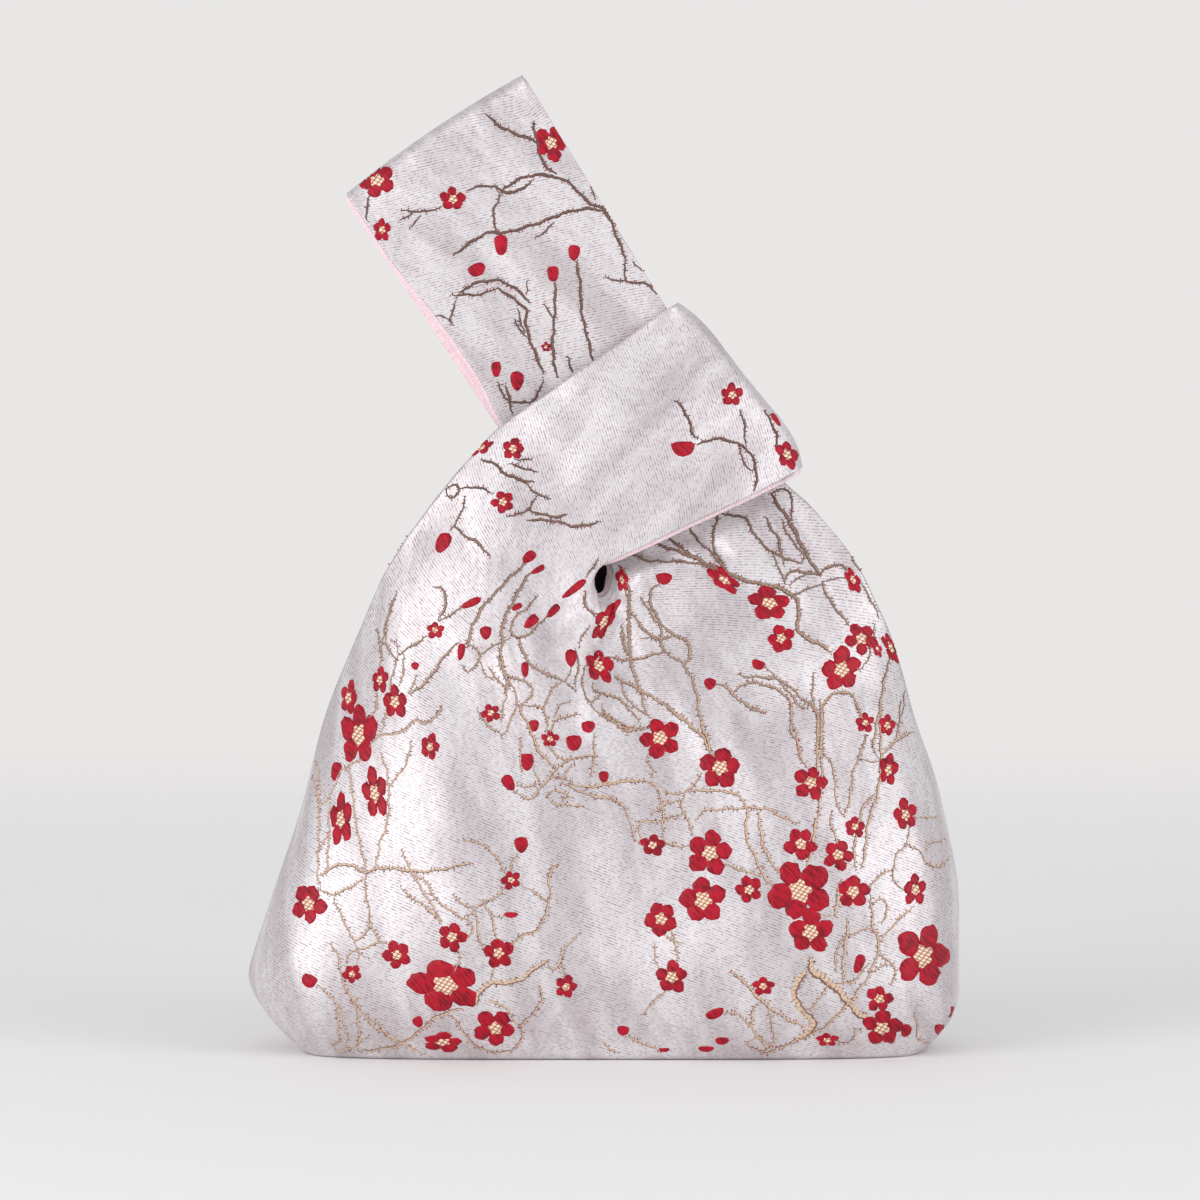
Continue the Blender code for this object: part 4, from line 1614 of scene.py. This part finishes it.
@dataclass(frozen=True)
class PetalSilk:
    """Red satin silk of the petals and buds, with its woven ribs."""

    name: str
    light: Colour = (178, 7, 38)
    middle: Colour = (150, 4, 31)
    shade: Colour = (120, 2, 24)
    rib: float = 0.00070
    rib_lean: float = 52.0
    cloud_size: float = 1 / 95
    relief: float = 0.00025
    roughness: float = 0.5
    specular: float = 0.28

    def make(self) -> bpy.types.Material:
        """Builds the material.

        Returns:
            The material.
        """
        material, tree, shader = plain_shader(self.name)
        place = cloth_place(tree)
        rib = noise(tree, mapped(tree, place, self.rib_lean, (5 * self.rib, self.rib)), 1.0, 0.5)
        cloud = noise(tree, mapped(tree, place, 0.0, (self.cloud_size, self.cloud_size)), 3.0, 0.6)
        value = worked(tree, "MULTIPLY_ADD", cloud, 0.55, rib)
        tone = ramp(tree, value, ((0.58, self.shade), (0.70, self.middle), (0.90, self.light)))
        tree.links.new(tone, shader.inputs["Base Color"])
        bump(tree, shader, rib, 0.5, self.relief)
        shader.inputs["Roughness"].default_value = self.roughness
        shader.inputs["Specular IOR Level"].default_value = self.specular
        return material


@dataclass(frozen=True)
class LatticeSilk:
    """Cream and gold lattice woven in the blossoms' centres."""

    name: str
    light: Colour = (240, 216, 190)
    gold: Colour = (220, 184, 152)
    shade: Colour = (150, 78, 62)
    pitch: float = 0.00115
    leans: Pair = (-68.0, 40.0)
    relief: float = 0.0003
    roughness: float = 0.45

    def make(self) -> bpy.types.Material:
        """Builds the material.

        Returns:
            The material.
        """
        material, tree, shader = plain_shader(self.name)
        place = cloth_place(tree)
        first = band(tree, mapped(tree, place, self.leans[0], (self.pitch, self.pitch)))
        second = band(tree, mapped(tree, place, self.leans[1], (self.pitch / 0.8, self.pitch)))
        value = worked(tree, "MAXIMUM", first, second)
        tone = ramp(tree, value, ((0.60, self.light), (0.84, self.gold), (0.97, self.shade)))
        tree.links.new(tone, shader.inputs["Base Color"])
        bump(tree, shader, value, -0.5, self.relief)
        shader.inputs["Roughness"].default_value = self.roughness
        return material


@dataclass(frozen=True)
class BranchThread:
    """Gold and brown twisted thread of the branches, darker towards the top."""

    name: str
    tan: Colour = (216, 189, 164)
    brown: Colour = (126, 94, 78)
    dark: Colour = (78, 52, 46)
    twist: float = 0.0013
    twist_lean: float = 24.0
    fleck_size: Pair = (1 / 1500, 1 / 2500)
    rim: Pair = (0.00025, 0.00080)
    darkening: Pair = (0.09, 0.19)
    relief: float = 0.0002
    roughness: float = 0.5

    def make(self) -> bpy.types.Material:
        """Builds the material.

        Returns:
            The material.
        """
        material, tree, shader = plain_shader(self.name)
        place = cloth_place(tree)
        size = (self.twist, self.twist / 0.4)
        strand = band(tree, mapped(tree, place, self.twist_lean, size))
        fleck = noise(tree, mapped(tree, place, 0.0, self.fleck_size), 1.0, 0.5)
        value = worked(tree, "MULTIPLY_ADD", strand, 0.22, fleck)
        rim = ranged(tree, part(tree, place.outputs[0], "Y"), self.rim, (0.0, 0.8))
        value = worked(tree, "ADD", value, rim)
        low = ramp(tree, value, ((0.54, self.tan), (0.95, self.brown)))
        high = ramp(tree, value, ((0.46, self.brown), (0.80, self.dark)))
        where = tree.nodes.new("ShaderNodeTexCoord").outputs["Object"]
        base = blended(tree, ranged(tree, part(tree, where, "Z"), self.darkening), low, high)
        tree.links.new(base, shader.inputs["Base Color"])
        bump(tree, shader, fleck, 0.3, self.relief)
        shader.inputs["Roughness"].default_value = self.roughness
        return material


def band(tree: Tree, vector: Socket) -> Socket:
    """Even bands along X of a coordinate socket, one a unit.

    Args:
        tree: Node tree.
        vector: Coordinate socket.

    Returns:
        The value socket.
    """
    turn = worked(tree, "MULTIPLY", part(tree, vector, "X"), 2 * pi)
    return worked(tree, "MULTIPLY_ADD", worked(tree, "SINE", turn), 0.5, 0.5)


# Figures of the bag's sides, laid as seen from beside it: depth behind the seam plane, height.
FLANK_LIFT = 0.001
FLANK_BLOSSOMS = (
    (95, 860, 44, 10, 100, 0), (60, 650, 36, -15, 100, 0), (118, 500, 44, 20, 100, 0),
    (72, 330, 56, 0, 100, 0), (125, 200, 36, 30, 100, 0),
)
FLANK_BUDS = (
    (40, 940, 14, 22, 10), (130, 720, 15, 23, -30), (50, 470, 16, 22, 20), (70, 120, 18, 24, 0),
)
FLANK_BRANCHES = """
2 90,90 20,130 -25,140 30,160 -27,180 22,130 -18,100
1 108,520 -38,60 -10,80
1 90,700 -40,80 -5,80 -5,70
1 90,400 -35,30 -5,40
1 108,230 27,100 -13,150
1 100,150 30,0 -2,40
1 100,640 28,30 2,40
1 100,160 -30,-10 -30,-20
"""


@dataclass
class FlankView:
    """One panel's part of the bag's left or right side, seen from beside the bag."""

    side: Side
    skin: BVHTree
    hand: int
    edge_on: float = 0.22

    def place(self, x: float, z: float) -> Found:
        """Finds the cloth at a place in the view.

        Args:
            x: Distance from the seam plane in metres.
            z: Height in metres.

        Returns:
            The point and its outward normal, or None past the cloth's edge.
        """
        start = Vector((self.hand, self.side.value * x, z))
        point, normal, _, _ = self.skin.ray_cast(start, Vector((-self.hand, 0.0, 0.0)))
        if point is None or point.x * self.hand < 0 or abs(normal.y) > self.edge_on:
            return None
        return point, normal

    def near(self, spot: Pair, u: float, v: float) -> Found:
        """Cloth at a place beside another in the view."""
        return self.place(spot[0] + u * self.hand * self.side.value, spot[1] + v)


@dataclass
class ClothView:
    """One side of the bag as seen square on, for laying figures on its cloth."""

    side: Side
    skin: BVHTree
    studio: "Studio"
    knot_height: float = 0.205
    grazing: float = 0.45
    reach: float = 0.008

    def place(self, x: float, z: float) -> Found:
        """Finds the cloth at a place in the view.

        Args:
            x: Place across in metres, as in the front view.
            z: Height in metres.

        Returns:
            The point and its outward normal, or None past the cloth's edge.
        """
        if self.side is Side.FRONT:
            start, ray = self.studio.sight(x, z)
        else:
            turned = -x if z < self.knot_height else x
            start, ray = Vector((turned, 1.0, z)), Vector((0.0, -1.0, 0.0))
        point, normal, _, _ = self.skin.ray_cast(start, ray)
        grazing = 0.0 if self.side is Side.FRONT else self.grazing
        if point is None or -normal.dot(ray) < grazing:
            return None
        return point, normal

    def near(self, spot: Pair, u: float, v: float) -> Found:
        """Cloth at a place beside another in the view, held to the same fold.

        Args:
            spot: Place in the view.
            u: Distance to the right in metres.
            v: Distance up in metres.

        Returns:
            The point on the cloth and its outward normal, or None.
        """
        middle = self.place(*spot)
        if middle is None:
            return None
        found = self.place(spot[0] + u, spot[1] + v)
        if found and (found[0] - middle[0]).length < 2.4 * float(np.hypot(u, v)) + 0.001:
            return found
        right, up = self.axes(middle[1])
        goal = middle[0] + right * u + up * v
        point, normal, _, _ = self.skin.find_nearest(goal, self.reach)
        return None if point is None else (point, normal)

    def axes(self, normal: Vector) -> Tuple[Vector, Vector]:
        """Directions along the cloth to the right and up.

        Args:
            normal: Outward normal of the cloth.

        Returns:
            The two directions.
        """
        right = Vector((-float(self.side.value), 0.0, 0.0))
        right = (right - normal * right.dot(normal)).normalized()
        return right, normal.cross(right)


@dataclass
class Weave:
    """Closed raised figures of one finish, gathered in one mesh."""

    name: str
    points: List[Vector] = field(default_factory=list)
    faces: List[Tuple[int, ...]] = field(default_factory=list)
    place: List[Pair] = field(default_factory=list)
    finish: List[int] = field(default_factory=list)

    def add(
        self,
        points: List[Vector],
        faces: List[Tuple[int, ...]],
        place: List[Pair],
        finish: int = 0,
    ) -> None:
        """Adds one closed figure.

        Args:
            points: Its points.
            faces: Its faces, numbered from 0.
            place: Place of each point on the cloth.
            finish: Number of its material.
        """
        first = len(self.points)
        self.points += points
        self.place += place
        self.faces += [tuple(first + i for i in face) for face in faces]
        self.finish += [finish] * len(faces)

    def build(self, materials: Sequence[bpy.types.Material]) -> bpy.types.Object:
        """Makes the piece.

        Args:
            materials: Its finishes.

        Returns:
            The finished piece.
        """
        mesh = bpy.data.meshes.new(self.name)
        mesh.from_pydata([tuple(p) for p in self.points], [], self.faces)
        layer = mesh.uv_layers.new(name="cloth")
        index = np.empty(len(mesh.loops), np.int32)
        mesh.loops.foreach_get("vertex_index", index)
        layer.data.foreach_set("uv", np.array(self.place, np.float32)[index].ravel())
        for material in materials:
            mesh.materials.append(material)
        mesh.polygons.foreach_set("material_index", self.finish)
        mesh.shade_smooth()
        piece = link_mesh(self.name, mesh)
        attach(piece, "root")
        LOG.info("%s: %d faces", self.name, len(self.faces))
        return piece


@dataclass
class Dome:
    """Low closed mound on the cloth with a given outline."""

    sink: float = 0.00005
    height: float = 0.00022

    def raise_on(
        self, view: View, spot: Pair, outline: Rows, weave: Weave, lift: float = 0.0
    ) -> None:
        """Adds the mound to a weave.

        Args:
            view: Side of the bag.
            spot: Place of the figure's middle in the view.
            outline: Places round the outline, right and up from the middle.
            weave: Piece that gets the mound.
            lift: Extra height in metres.
        """
        centre = np.mean(outline, axis=0)
        rings = ((1.0, -self.sink), (0.93, 0.7 * self.height + lift), (0.55, self.height + lift))
        flat, heights = [], []
        for scale, height in rings:
            for place in outline:
                flat.append(centre + (np.array(place) - centre) * scale)
                heights.append(height)
        flat += [centre, centre]
        heights += [self.height + lift, -2 * self.sink]
        points = []
        for (u, v), height in zip(flat, heights):
            found = view.near(spot, u, v)
            if found is None:
                return
            points.append(found[0] + found[1] * height)
        n = len(outline)
        faces = []
        for ring in range(2):
            for i in range(n):
                j = (i + 1) % n
                low, high = ring * n, (ring + 1) * n
                faces.append((low + i, low + j, high + j, high + i))
        for i in range(n):
            j = (i + 1) % n
            faces.append((2 * n + i, 2 * n + j, 3 * n))
            faces.append((j, i, 3 * n + 1))
        places = [(spot[0] + u, spot[1] + v) for u, v in flat]
        weave.add(points, faces, places)


# Half of a petal from tip to foot: share of its reach, share of its half width.
PETAL = (
    (0.95, 0.34), (0.86, 0.68), (0.74, 0.94), (0.61, 1.0),
    (0.46, 0.92), (0.30, 0.74), (0.14, 0.44),
)


@dataclass
class Blossom:
    """Plum blossom of five joined petals round a lattice centre."""

    x: float
    z: float
    radius: float
    phase: float
    squash: float
    axis: float
    petal_points: int = 16

    def outline(
        self,
        centre: Pair,
        half_long: float,
        half_wide: float,
        turn: float,
        rough: float,
        draw: Random,
    ) -> Rows:
        """Slightly uneven rounded outline, counter-clockwise.

        Args:
            centre: Middle of the outline.
            half_long: Half its length.
            half_wide: Half its width.
            turn: Direction of its length in radians from up, clockwise.
            rough: Unevenness as a share of its size.
            draw: Random numbers.

        Returns:
            The places round it.
        """
        ahead = np.array((sin(turn), cos(turn)))
        aside = np.array((-cos(turn), sin(turn)))
        places = []
        for k in range(self.petal_points):
            t = 2 * pi * k / self.petal_points
            jitter = 1 + rough * draw.uniform(-1, 1)
            long = half_long * float(np.sign(cos(t))) * abs(cos(t)) ** 0.8
            wide = half_wide * float(np.sign(sin(t))) * abs(sin(t)) ** 0.85
            wide *= 1 + 0.30 * cos(t)
            places.append(np.array(centre) + (ahead * long + aside * wide) * jitter)
        return [self.pressed(place) for place in places]

    def petal(self, turn: float, reach: float, half_wide: float, draw: Random) -> Rows:
        """Outline of a petal that starts near the blossom's middle.

        Args:
            turn: Direction of the petal in radians from up, clockwise.
            reach: Distance of its tip.
            half_wide: Half its width.
            draw: Random numbers.

        Returns:
            The places round it, counter-clockwise.
        """
        ahead = np.array((sin(turn), cos(turn)))
        aside = np.array((-cos(turn), sin(turn)))
        skew = draw.uniform(-0.22, 0.22)
        places = [ahead * reach + aside * skew * half_wide]
        left = [(at, wide) for at, wide in PETAL]
        right = [(at, -wide) for at, wide in reversed(PETAL)]
        for at, wide in left + right:
            width = wide * half_wide * draw.uniform(0.86, 1.10) + skew * half_wide * at ** 3
            places.append(ahead * reach * at * draw.uniform(0.95, 1.05) + aside * width)
        return [self.pressed(place) for place in places]

    def heart(self, size: float, draw: Random) -> Rows:
        """Uneven outline of the centre, reaching out between the petals.

        Args:
            size: Its radius in metres.
            draw: Random numbers.

        Returns:
            The places round it, counter-clockwise.
        """
        places = []
        for k in range(self.petal_points):
            turn = -2 * pi * k / self.petal_points
            lobe = 1 - 0.20 * cos(5 * (turn - radians(self.phase))) + draw.uniform(-0.12, 0.12)
            places.append(size * lobe * np.array((sin(turn), cos(turn))))
        return [self.pressed(place) for place in places]

    def pressed(self, place: np.ndarray) -> np.ndarray:
        """The place with the blossom's squash across its long axis.

        Args:
            place: Place from the blossom's middle.

        Returns:
            The new place.
        """
        angle = radians(self.axis)
        along = np.array((sin(angle), cos(angle)))
        across = np.array((cos(angle), -sin(angle)))
        return along * place.dot(along) + across * place.dot(across) * self.squash

    def lay(self, view: View, petals: Weave, centres: Weave, draw: Random) -> None:
        """Lays the blossom on the cloth.

        Args:
            view: Side of the bag.
            petals: Piece that gets the petals.
            centres: Piece that gets the centre.
            draw: Random numbers.
        """
        spot = (self.x, self.z)
        size = self.radius
        edge = [2 * pi * k / 8 for k in range(8)]
        if any(view.near(spot, size * sin(a), size * cos(a)) is None for a in edge):
            return
        for k in range(5):
            turn = radians(self.phase + 72 * k + draw.uniform(-6, 6))
            reach = size * draw.uniform(0.92, 1.10)
            places = self.petal(turn, reach, size * draw.uniform(0.36, 0.43), draw)
            Dome(height=0.00022 + 0.00002 * k).raise_on(view, spot, places, petals)
        Dome(height=0.00020).raise_on(view, spot, self.heart(0.34 * size, draw), centres, 0.00022)


@dataclass
class Bud:
    """Small oval bud."""

    x: float
    z: float
    half_width: float
    half_height: float
    lean: float

    def lay(self, view: View, petals: Weave, draw: Random) -> None:
        """Lays the bud on the cloth.

        Args:
            view: Side of the bag.
            petals: Piece that gets the bud.
            draw: Random numbers.
        """
        shape = Blossom(0.0, 0.0, 1.0, 0.0, 1.0, 0.0, 12)
        turn = radians(self.lean)
        size = (self.half_height, self.half_width)
        places = shape.outline((0.0, 0.0), *size, turn, 0.06, draw)
        Dome().raise_on(view, (self.x, self.z), places, petals)


@dataclass
class Branch:
    """Winding branch of twisted thread with its short stray stitches."""

    kind: int
    path: np.ndarray
    step: float = 0.0011
    height: float = 0.00020
    stray_gap: float = 0.0024
    swing: Pair = (0.78, 1.22)

    @property
    def width(self) -> float:
        """Width of the branch in metres."""
        return {1: 0.00080, 2: 0.00108, 3: 0.0016, 4: 0.0026}[self.kind]

    def curve(self, draw: Random) -> np.ndarray:
        """Evenly spaced places along the path, rounded and slightly winding.

        Args:
            draw: Random numbers.

        Returns:
            The places.
        """
        path = self.path
        if len(path) > 2:
            for _ in range(2):
                cut = [path[0]]
                for a, b in zip(path, path[1:]):
                    cut += [mix(a, b, 0.25), mix(a, b, 0.75)]
                path = np.array(cut + [path[-1]])
        steps = np.linalg.norm(np.diff(path, axis=0), axis=1)
        length = np.concatenate(([0.0], np.cumsum(steps)))
        count = max(3, int(length[-1] / self.step))
        at = np.linspace(0.0, length[-1], count)
        x, z = np.interp(at, length, path[:, 0]), np.interp(at, length, path[:, 1])
        run = np.stack((np.gradient(x), np.gradient(z)), axis=1)
        run /= np.linalg.norm(run, axis=1)[:, None] + 1e-12
        wind = 0.00022 * np.sin(at / 0.0011 + draw.uniform(0, 6.28))
        wind += 0.00014 * np.sin(at / 0.00047 + draw.uniform(0, 6.28))
        return np.stack((x - run[:, 1] * wind, z + run[:, 0] * wind), axis=1)

    def lay(self, view: View, threads: Weave, draw: Random) -> None:
        """Lays the branch on the cloth, broken where the cloth's edge cuts it.

        Args:
            view: Side of the bag.
            threads: Piece that gets the branch.
            draw: Random numbers.
        """
        run = []
        for x, z in self.curve(draw):
            at = view.place(x, z)
            far = bool(run) and at is not None and (at[0] - run[-1][0]).length > 4 * self.step
            if at is None or far:
                self._ribbon(run, threads, draw)
                run = []
            if at is not None:
                run.append(at)
        self._ribbon(run, threads, draw)

    def _ribbon(self, run: List[Spot], threads: Weave, draw: Random) -> None:
        """Adds one unbroken length of the branch.

        Args:
            run: Point and normal of the cloth at each step.
            threads: Piece that gets the branch.
            draw: Random numbers.
        """
        n = len(run)
        if n < 4:
            return
        points, places = [], []
        offset = draw.uniform(0, 1)
        for i, (at, normal) in enumerate(run):
            ahead = (run[min(i + 1, n - 1)][0] - run[max(i - 1, 0)][0]).normalized()
            side = ahead.cross(normal).normalized()
            end = min(i, n - 1 - i) / 2.5
            even = min(1.0, 0.0011 / self.width)
            half = self.width / 2 * (0.45 + 0.55 * min(1.0, end))
            half *= mix(1.0 + 0.22 * sin(i / 3.1 + offset * 6), draw.uniform(*self.swing), even)
            length = i * self.step
            sway = 0.25 * half * draw.uniform(-1, 1) * even ** 2
            flat = mix(0.80, 0.45, even)
            for across, height in (
                (-half, -0.00004),
                (-flat * half + sway, self.height * even),
                (flat * half + sway, self.height * even),
                (half, -0.00004),
                (0.0, -0.00012),
            ):
                points.append(at + side * across + normal * height)
                places.append((length + offset, 0.001 * across / half))
            self._stray((at, normal), ahead, side * half, length, threads, draw)
        faces = []
        for i in range(n - 1):
            for k in range(5):
                m = (k + 1) % 5
                faces.append((5 * i + k, 5 * i + 5 + k, 5 * i + 5 + m, 5 * i + m))
        faces.append((0, 1, 2, 3, 4))
        last = 5 * (n - 1)
        faces.append((last + 4, last + 3, last + 2, last + 1, last))
        threads.add(points, faces, places, 0)

    def _stray(
        self,
        spot: Spot,
        ahead: Vector,
        reach: Vector,
        length: float,
        threads: Weave,
        draw: Random,
    ) -> None:
        """Adds a short stray stitch beside the branch now and then.

        Args:
            spot: Point and normal of the cloth on the branch.
            ahead: Direction of the branch.
            reach: From its middle to its side.
            length: Place along the branch.
            threads: Piece that gets the stitch.
            draw: Random numbers.
        """
        at, normal = spot
        side = reach.normalized()
        for sign in (-1, 1):
            if draw.uniform() > self.step / self.stray_gap:
                continue
            start = at + reach * sign * 0.9 + ahead * draw.uniform(-0.0005, 0.0005)
            slant = (side * sign + ahead * draw.uniform(-0.6, 0.6)).normalized()
            end = start + slant * draw.uniform(0.00035, 0.0008)
            thick = slant.cross(normal).normalized() * 0.00020
            low, high = normal * -0.00006, normal * 0.00020
            points = [start - thick + low, start + thick + low, end + thick + low]
            points += [end - thick + low, start + high, end + high]
            faces = [(0, 3, 5, 4), (2, 1, 4, 5), (1, 0, 4), (3, 2, 5), (0, 1, 2, 3)]
            places = [(length, 0.0)] * 6
            threads.add(points, faces, places, 1 if draw.uniform() < 0.5 else 2)


def branch_steps(table: str) -> List[Tuple[int, List[List[float]]]]:
    """Kind, first place and steps of each branch in a table of branches.

    Args:
        table: Its text.

    Returns:
        The kind of each, and its first place and steps in the table's units.
    """
    found = []
    for word in table.split():
        if "," in word:
            found[-1][1].append([float(number) for number in word.split(",")])
        else:
            found.append((int(word), []))
    return found


@dataclass
class PlumPattern:
    """Whole plum blossom figure of one side."""

    side: Side
    word: str
    draw: Random = field(init=False)
    petals: Weave = field(init=False)
    centres: Weave = field(init=False)
    threads: Weave = field(init=False)

    def __post_init__(self) -> None:
        """Starts the three pieces and the random numbers."""
        self.draw = np.random.default_rng(SEED + self.side.value)
        self.petals = Weave("petals_" + self.word)
        self.centres = Weave("blossom_centres_" + self.word)
        self.threads = Weave("branches_" + self.word)

    def lay(self, view: ClothView) -> List[bpy.types.Object]:
        """Lays every blossom, bud and branch.

        Args:
            view: The side of the bag.

        Returns:
            The pieces made.
        """
        self.figures(view, 0.0, BLOSSOMS, BUDS, BRANCHES)
        if self.side is Side.BACK:
            for hand in (-1, 1):
                flank = FlankView(self.side, view.skin, hand)
                lift = FLANK_LIFT * hand
                self.figures(flank, lift, FLANK_BLOSSOMS, FLANK_BUDS, FLANK_BRANCHES)
        silk = PetalSilk("petal_silk_" + self.word).make()
        lattice = LatticeSilk("lattice_silk_" + self.word).make()
        thread = BranchThread("branch_thread_" + self.word).make()
        stray = BranchThread(
            "dark_thread_" + self.word, (140, 110, 100), (100, 74, 66), (60, 40, 38)
        ).make()
        made = [
            self.petals.build([silk]),
            self.centres.build([lattice]),
            self.threads.build([thread, silk, stray]),
        ]
        return made

    def figures(
        self, view: View, lift: float, blossoms: Table, buds: Table, branches: str
    ) -> None:
        """Lays one list of blossoms, buds and branches.

        Args:
            view: The side of the bag, or its flank.
            lift: Rise of the whole list.
            blossoms: Place, radius, turn, squash and axis of each blossom.
            buds: Place, half sizes and lean of each bud.
            branches: Kind, first place and steps of each branch.
        """
        for x, z, radius, phase, squash, axis in blossoms:
            place = (x / UNITS, z / UNITS + lift)
            blossom = Blossom(*place, radius / UNITS, phase, squash / 100, axis)
            blossom.lay(view, self.petals, self.centres, self.draw)
        for x, z, half_width, half_height, lean in buds:
            size = (half_width / UNITS, half_height / UNITS)
            bud = Bud(x / UNITS, z / UNITS + lift, *size, lean)
            bud.lay(view, self.petals, self.draw)
        for kind, steps in branch_steps(branches):
            path = np.cumsum(steps, axis=0) / UNITS + (0.0, lift)
            Branch(kind, path).lay(view, self.threads, self.draw)


@dataclass(frozen=True)
class Lamp:
    """One soft square lamp, with its side in metres and its power in watts."""

    name: str
    place: Triple
    size: float
    power: float
    aim: Triple = (0.0, 0.0, 0.10)

    def hang(self) -> None:
        """Puts the lamp into the scene."""
        data = bpy.data.lights.new(self.name, "AREA")
        data.size = self.size
        data.energy = self.power
        lamp = bpy.data.objects.new(self.name, data)
        lamp.location = self.place
        turn = (Vector(self.aim) - Vector(self.place)).to_track_quat("-Z", "Y")
        lamp.rotation_euler = turn.to_euler()
        bpy.context.scene.collection.objects.link(lamp)


@dataclass
class Studio:
    """Camera, lamps, floor and backdrop."""

    view_width: float = 0.4016
    middle: Pair = (-0.0010, 0.1526)
    zoom: float = 1.006
    shift: Pair = (0.0, -0.0012)
    distance: float = 2.0
    elevation: float = 2.5
    sensor: float = 36.0
    key: Lamp = Lamp("key", (-1.45, -1.45, 0.55), 1.4, 22.5)
    fill: Lamp = Lamp("fill", (1.8, -1.3, 0.6), 1.3, 17.0)
    world_tone: Colour = (240, 241, 244)
    world_strength: float = 0.76
    floor_reach: float = 3.4
    floor_half: float = 4.0
    wall_height: float = 3.6
    bend: float = 1.2
    bend_steps: int = 12
    floor_tone: Colour = (246, 245, 244)
    floor_roughness: float = 0.75
    backdrop_tone: Colour = (233, 231, 230)
    backdrop_fade: Pair = (0.35, 1.5)

    def __post_init__(self) -> None:
        """Works out where the camera stands."""
        angle = radians(self.elevation)
        self.up = Vector((0.0, sin(angle), cos(angle)))
        self.aim = Vector((self.middle[0] + self.shift[0], 0.0, self.middle[1] + self.shift[1]))
        self.eye = self.aim + self.distance * Vector((0.0, -cos(angle), sin(angle)))

    def sight(self, x: float, z: float) -> Tuple[Vector, Vector]:
        """Line of sight through a place of the flat front view.

        Args:
            x: Place across, in metres.
            z: Height, in metres.

        Returns:
            The eye and the direction.
        """
        across = (x - self.middle[0]) * self.zoom
        rise = (z - self.middle[1]) * self.zoom
        return self.eye, self.aim + Vector((across, 0.0, 0.0)) + self.up * rise - self.eye

    def camera(self) -> bpy.types.Object:
        """Camera square to the bag's front, a little above it.

        Returns:
            The camera.
        """
        angle = radians(self.elevation)
        data = bpy.data.cameras.new("camera")
        data.sensor_width = self.sensor
        data.lens = self.sensor * self.distance / (self.view_width * self.zoom)
        camera = bpy.data.objects.new("camera", data)
        camera.location = self.eye
        camera.rotation_euler = (pi / 2 - angle, 0.0, 0.0)
        data.clip_end = 20.0
        bpy.context.scene.collection.objects.link(camera)
        bpy.context.scene.camera = camera
        return camera

    def floor(self) -> None:
        """Pale floor that runs up into a plain backdrop."""
        start = self.floor_reach - self.bend
        profile = [(-self.floor_reach, 0.0), (start, 0.0)]
        for k in range(1, self.bend_steps + 1):
            angle = pi / 2 * k / self.bend_steps
            profile.append((start + self.bend * sin(angle), self.bend * (1 - cos(angle))))
        profile.append((self.floor_reach, self.wall_height))
        points = [(x, y, z) for x in (-self.floor_half, self.floor_half) for y, z in profile]
        n = len(profile)
        faces = [(i, n + i, n + i + 1, i + 1) for i in range(n - 1)]
        mesh = bpy.data.meshes.new("floor")
        mesh.from_pydata(points, [], faces)
        mesh.shade_smooth()
        floor = link_mesh("floor", mesh)
        material, tree, shader = plain_shader("floor")
        shader.inputs["Base Color"].default_value = linear(self.floor_tone)
        shader.inputs["Roughness"].default_value = self.floor_roughness
        self.far_tone(tree, shader)
        mesh.materials.append(material)

    def far_tone(self, tree: Tree, shader: Node) -> None:
        """Lets the camera see the far floor and the backdrop as one plain pale tone.

        Args:
            tree: Node tree of the floor.
            shader: Its shader.
        """
        tone = tree.nodes.new("ShaderNodeEmission")
        tone.inputs["Color"].default_value = linear(self.backdrop_tone)
        where = tree.nodes.new("ShaderNodeTexCoord").outputs["Object"]
        far = ranged(tree, part(tree, where, "Y"), self.backdrop_fade)
        seen = tree.nodes.new("ShaderNodeLightPath").outputs["Is Camera Ray"]
        blend = tree.nodes.new("ShaderNodeMixShader")
        tree.links.new(worked(tree, "MULTIPLY", far, seen), blend.inputs["Fac"])
        tree.links.new(shader.outputs["BSDF"], blend.inputs[1])
        tree.links.new(tone.outputs["Emission"], blend.inputs[2])
        surface = tree.nodes["Material Output"].inputs["Surface"]
        tree.links.new(blend.outputs["Shader"], surface)

    def light(self) -> None:
        """Soft key from the upper left, a weak fill from the right and a plain world."""
        self.key.hang()
        self.fill.hang()
        world = bpy.data.worlds.new("world")
        world.use_nodes = True
        back = world.node_tree.nodes["Background"]
        back.inputs["Color"].default_value = linear(self.world_tone)
        back.inputs["Strength"].default_value = self.world_strength
        bpy.context.scene.world = world
        bpy.context.scene.view_settings.view_transform = "Standard"


def main() -> None:
    """Builds the bag and its stage."""
    logging.basicConfig(level=logging.INFO, format="%(message)s")
    studio = Studio()
    studio.camera()
    studio.floor()
    studio.light()
    cut, grid = BagCut(), Grid()
    skin = cut.outer_thickness / 2
    gap = -skin - cut.clearance
    drape = Drape()
    shapes = {
        Side.FRONT: PanelShape(cut, grid, hole_height=0.0095, edge_inset=0.003),
        Side.BACK: PanelShape(cut, grid, hole_height=-0.0012, edge_inset=0.0),
    }
    for side, word in ((Side.FRONT, "front"), (Side.BACK, "back")):
        outer = PanelSheet(
            "brocade_" + word,
            f"outer_{word}_panel",
            shapes[side],
            side,
            outside=skin,
            inside=-skin,
            levels=2,
            lip=0.0,
            drape=drape,
        )
        brocade = outer.build(BrocadeGround("brocade_" + word).make())
        view = ClothView(side, outer.skin, studio)
        figures = PlumPattern(side, word).lay(view)
        inner = PanelSheet(
            "lining_" + word,
            f"lining_{word}_panel",
            shapes[side],
            side,
            outside=gap,
            inside=gap - cut.lining_thickness,
            levels=1,
            lip=0.0012,
            drape=drape,
        )
        lining = inner.build(LiningCloth("lining_" + word, side, shapes[side].strap_start).make())


if __name__ == "__main__":
    main()
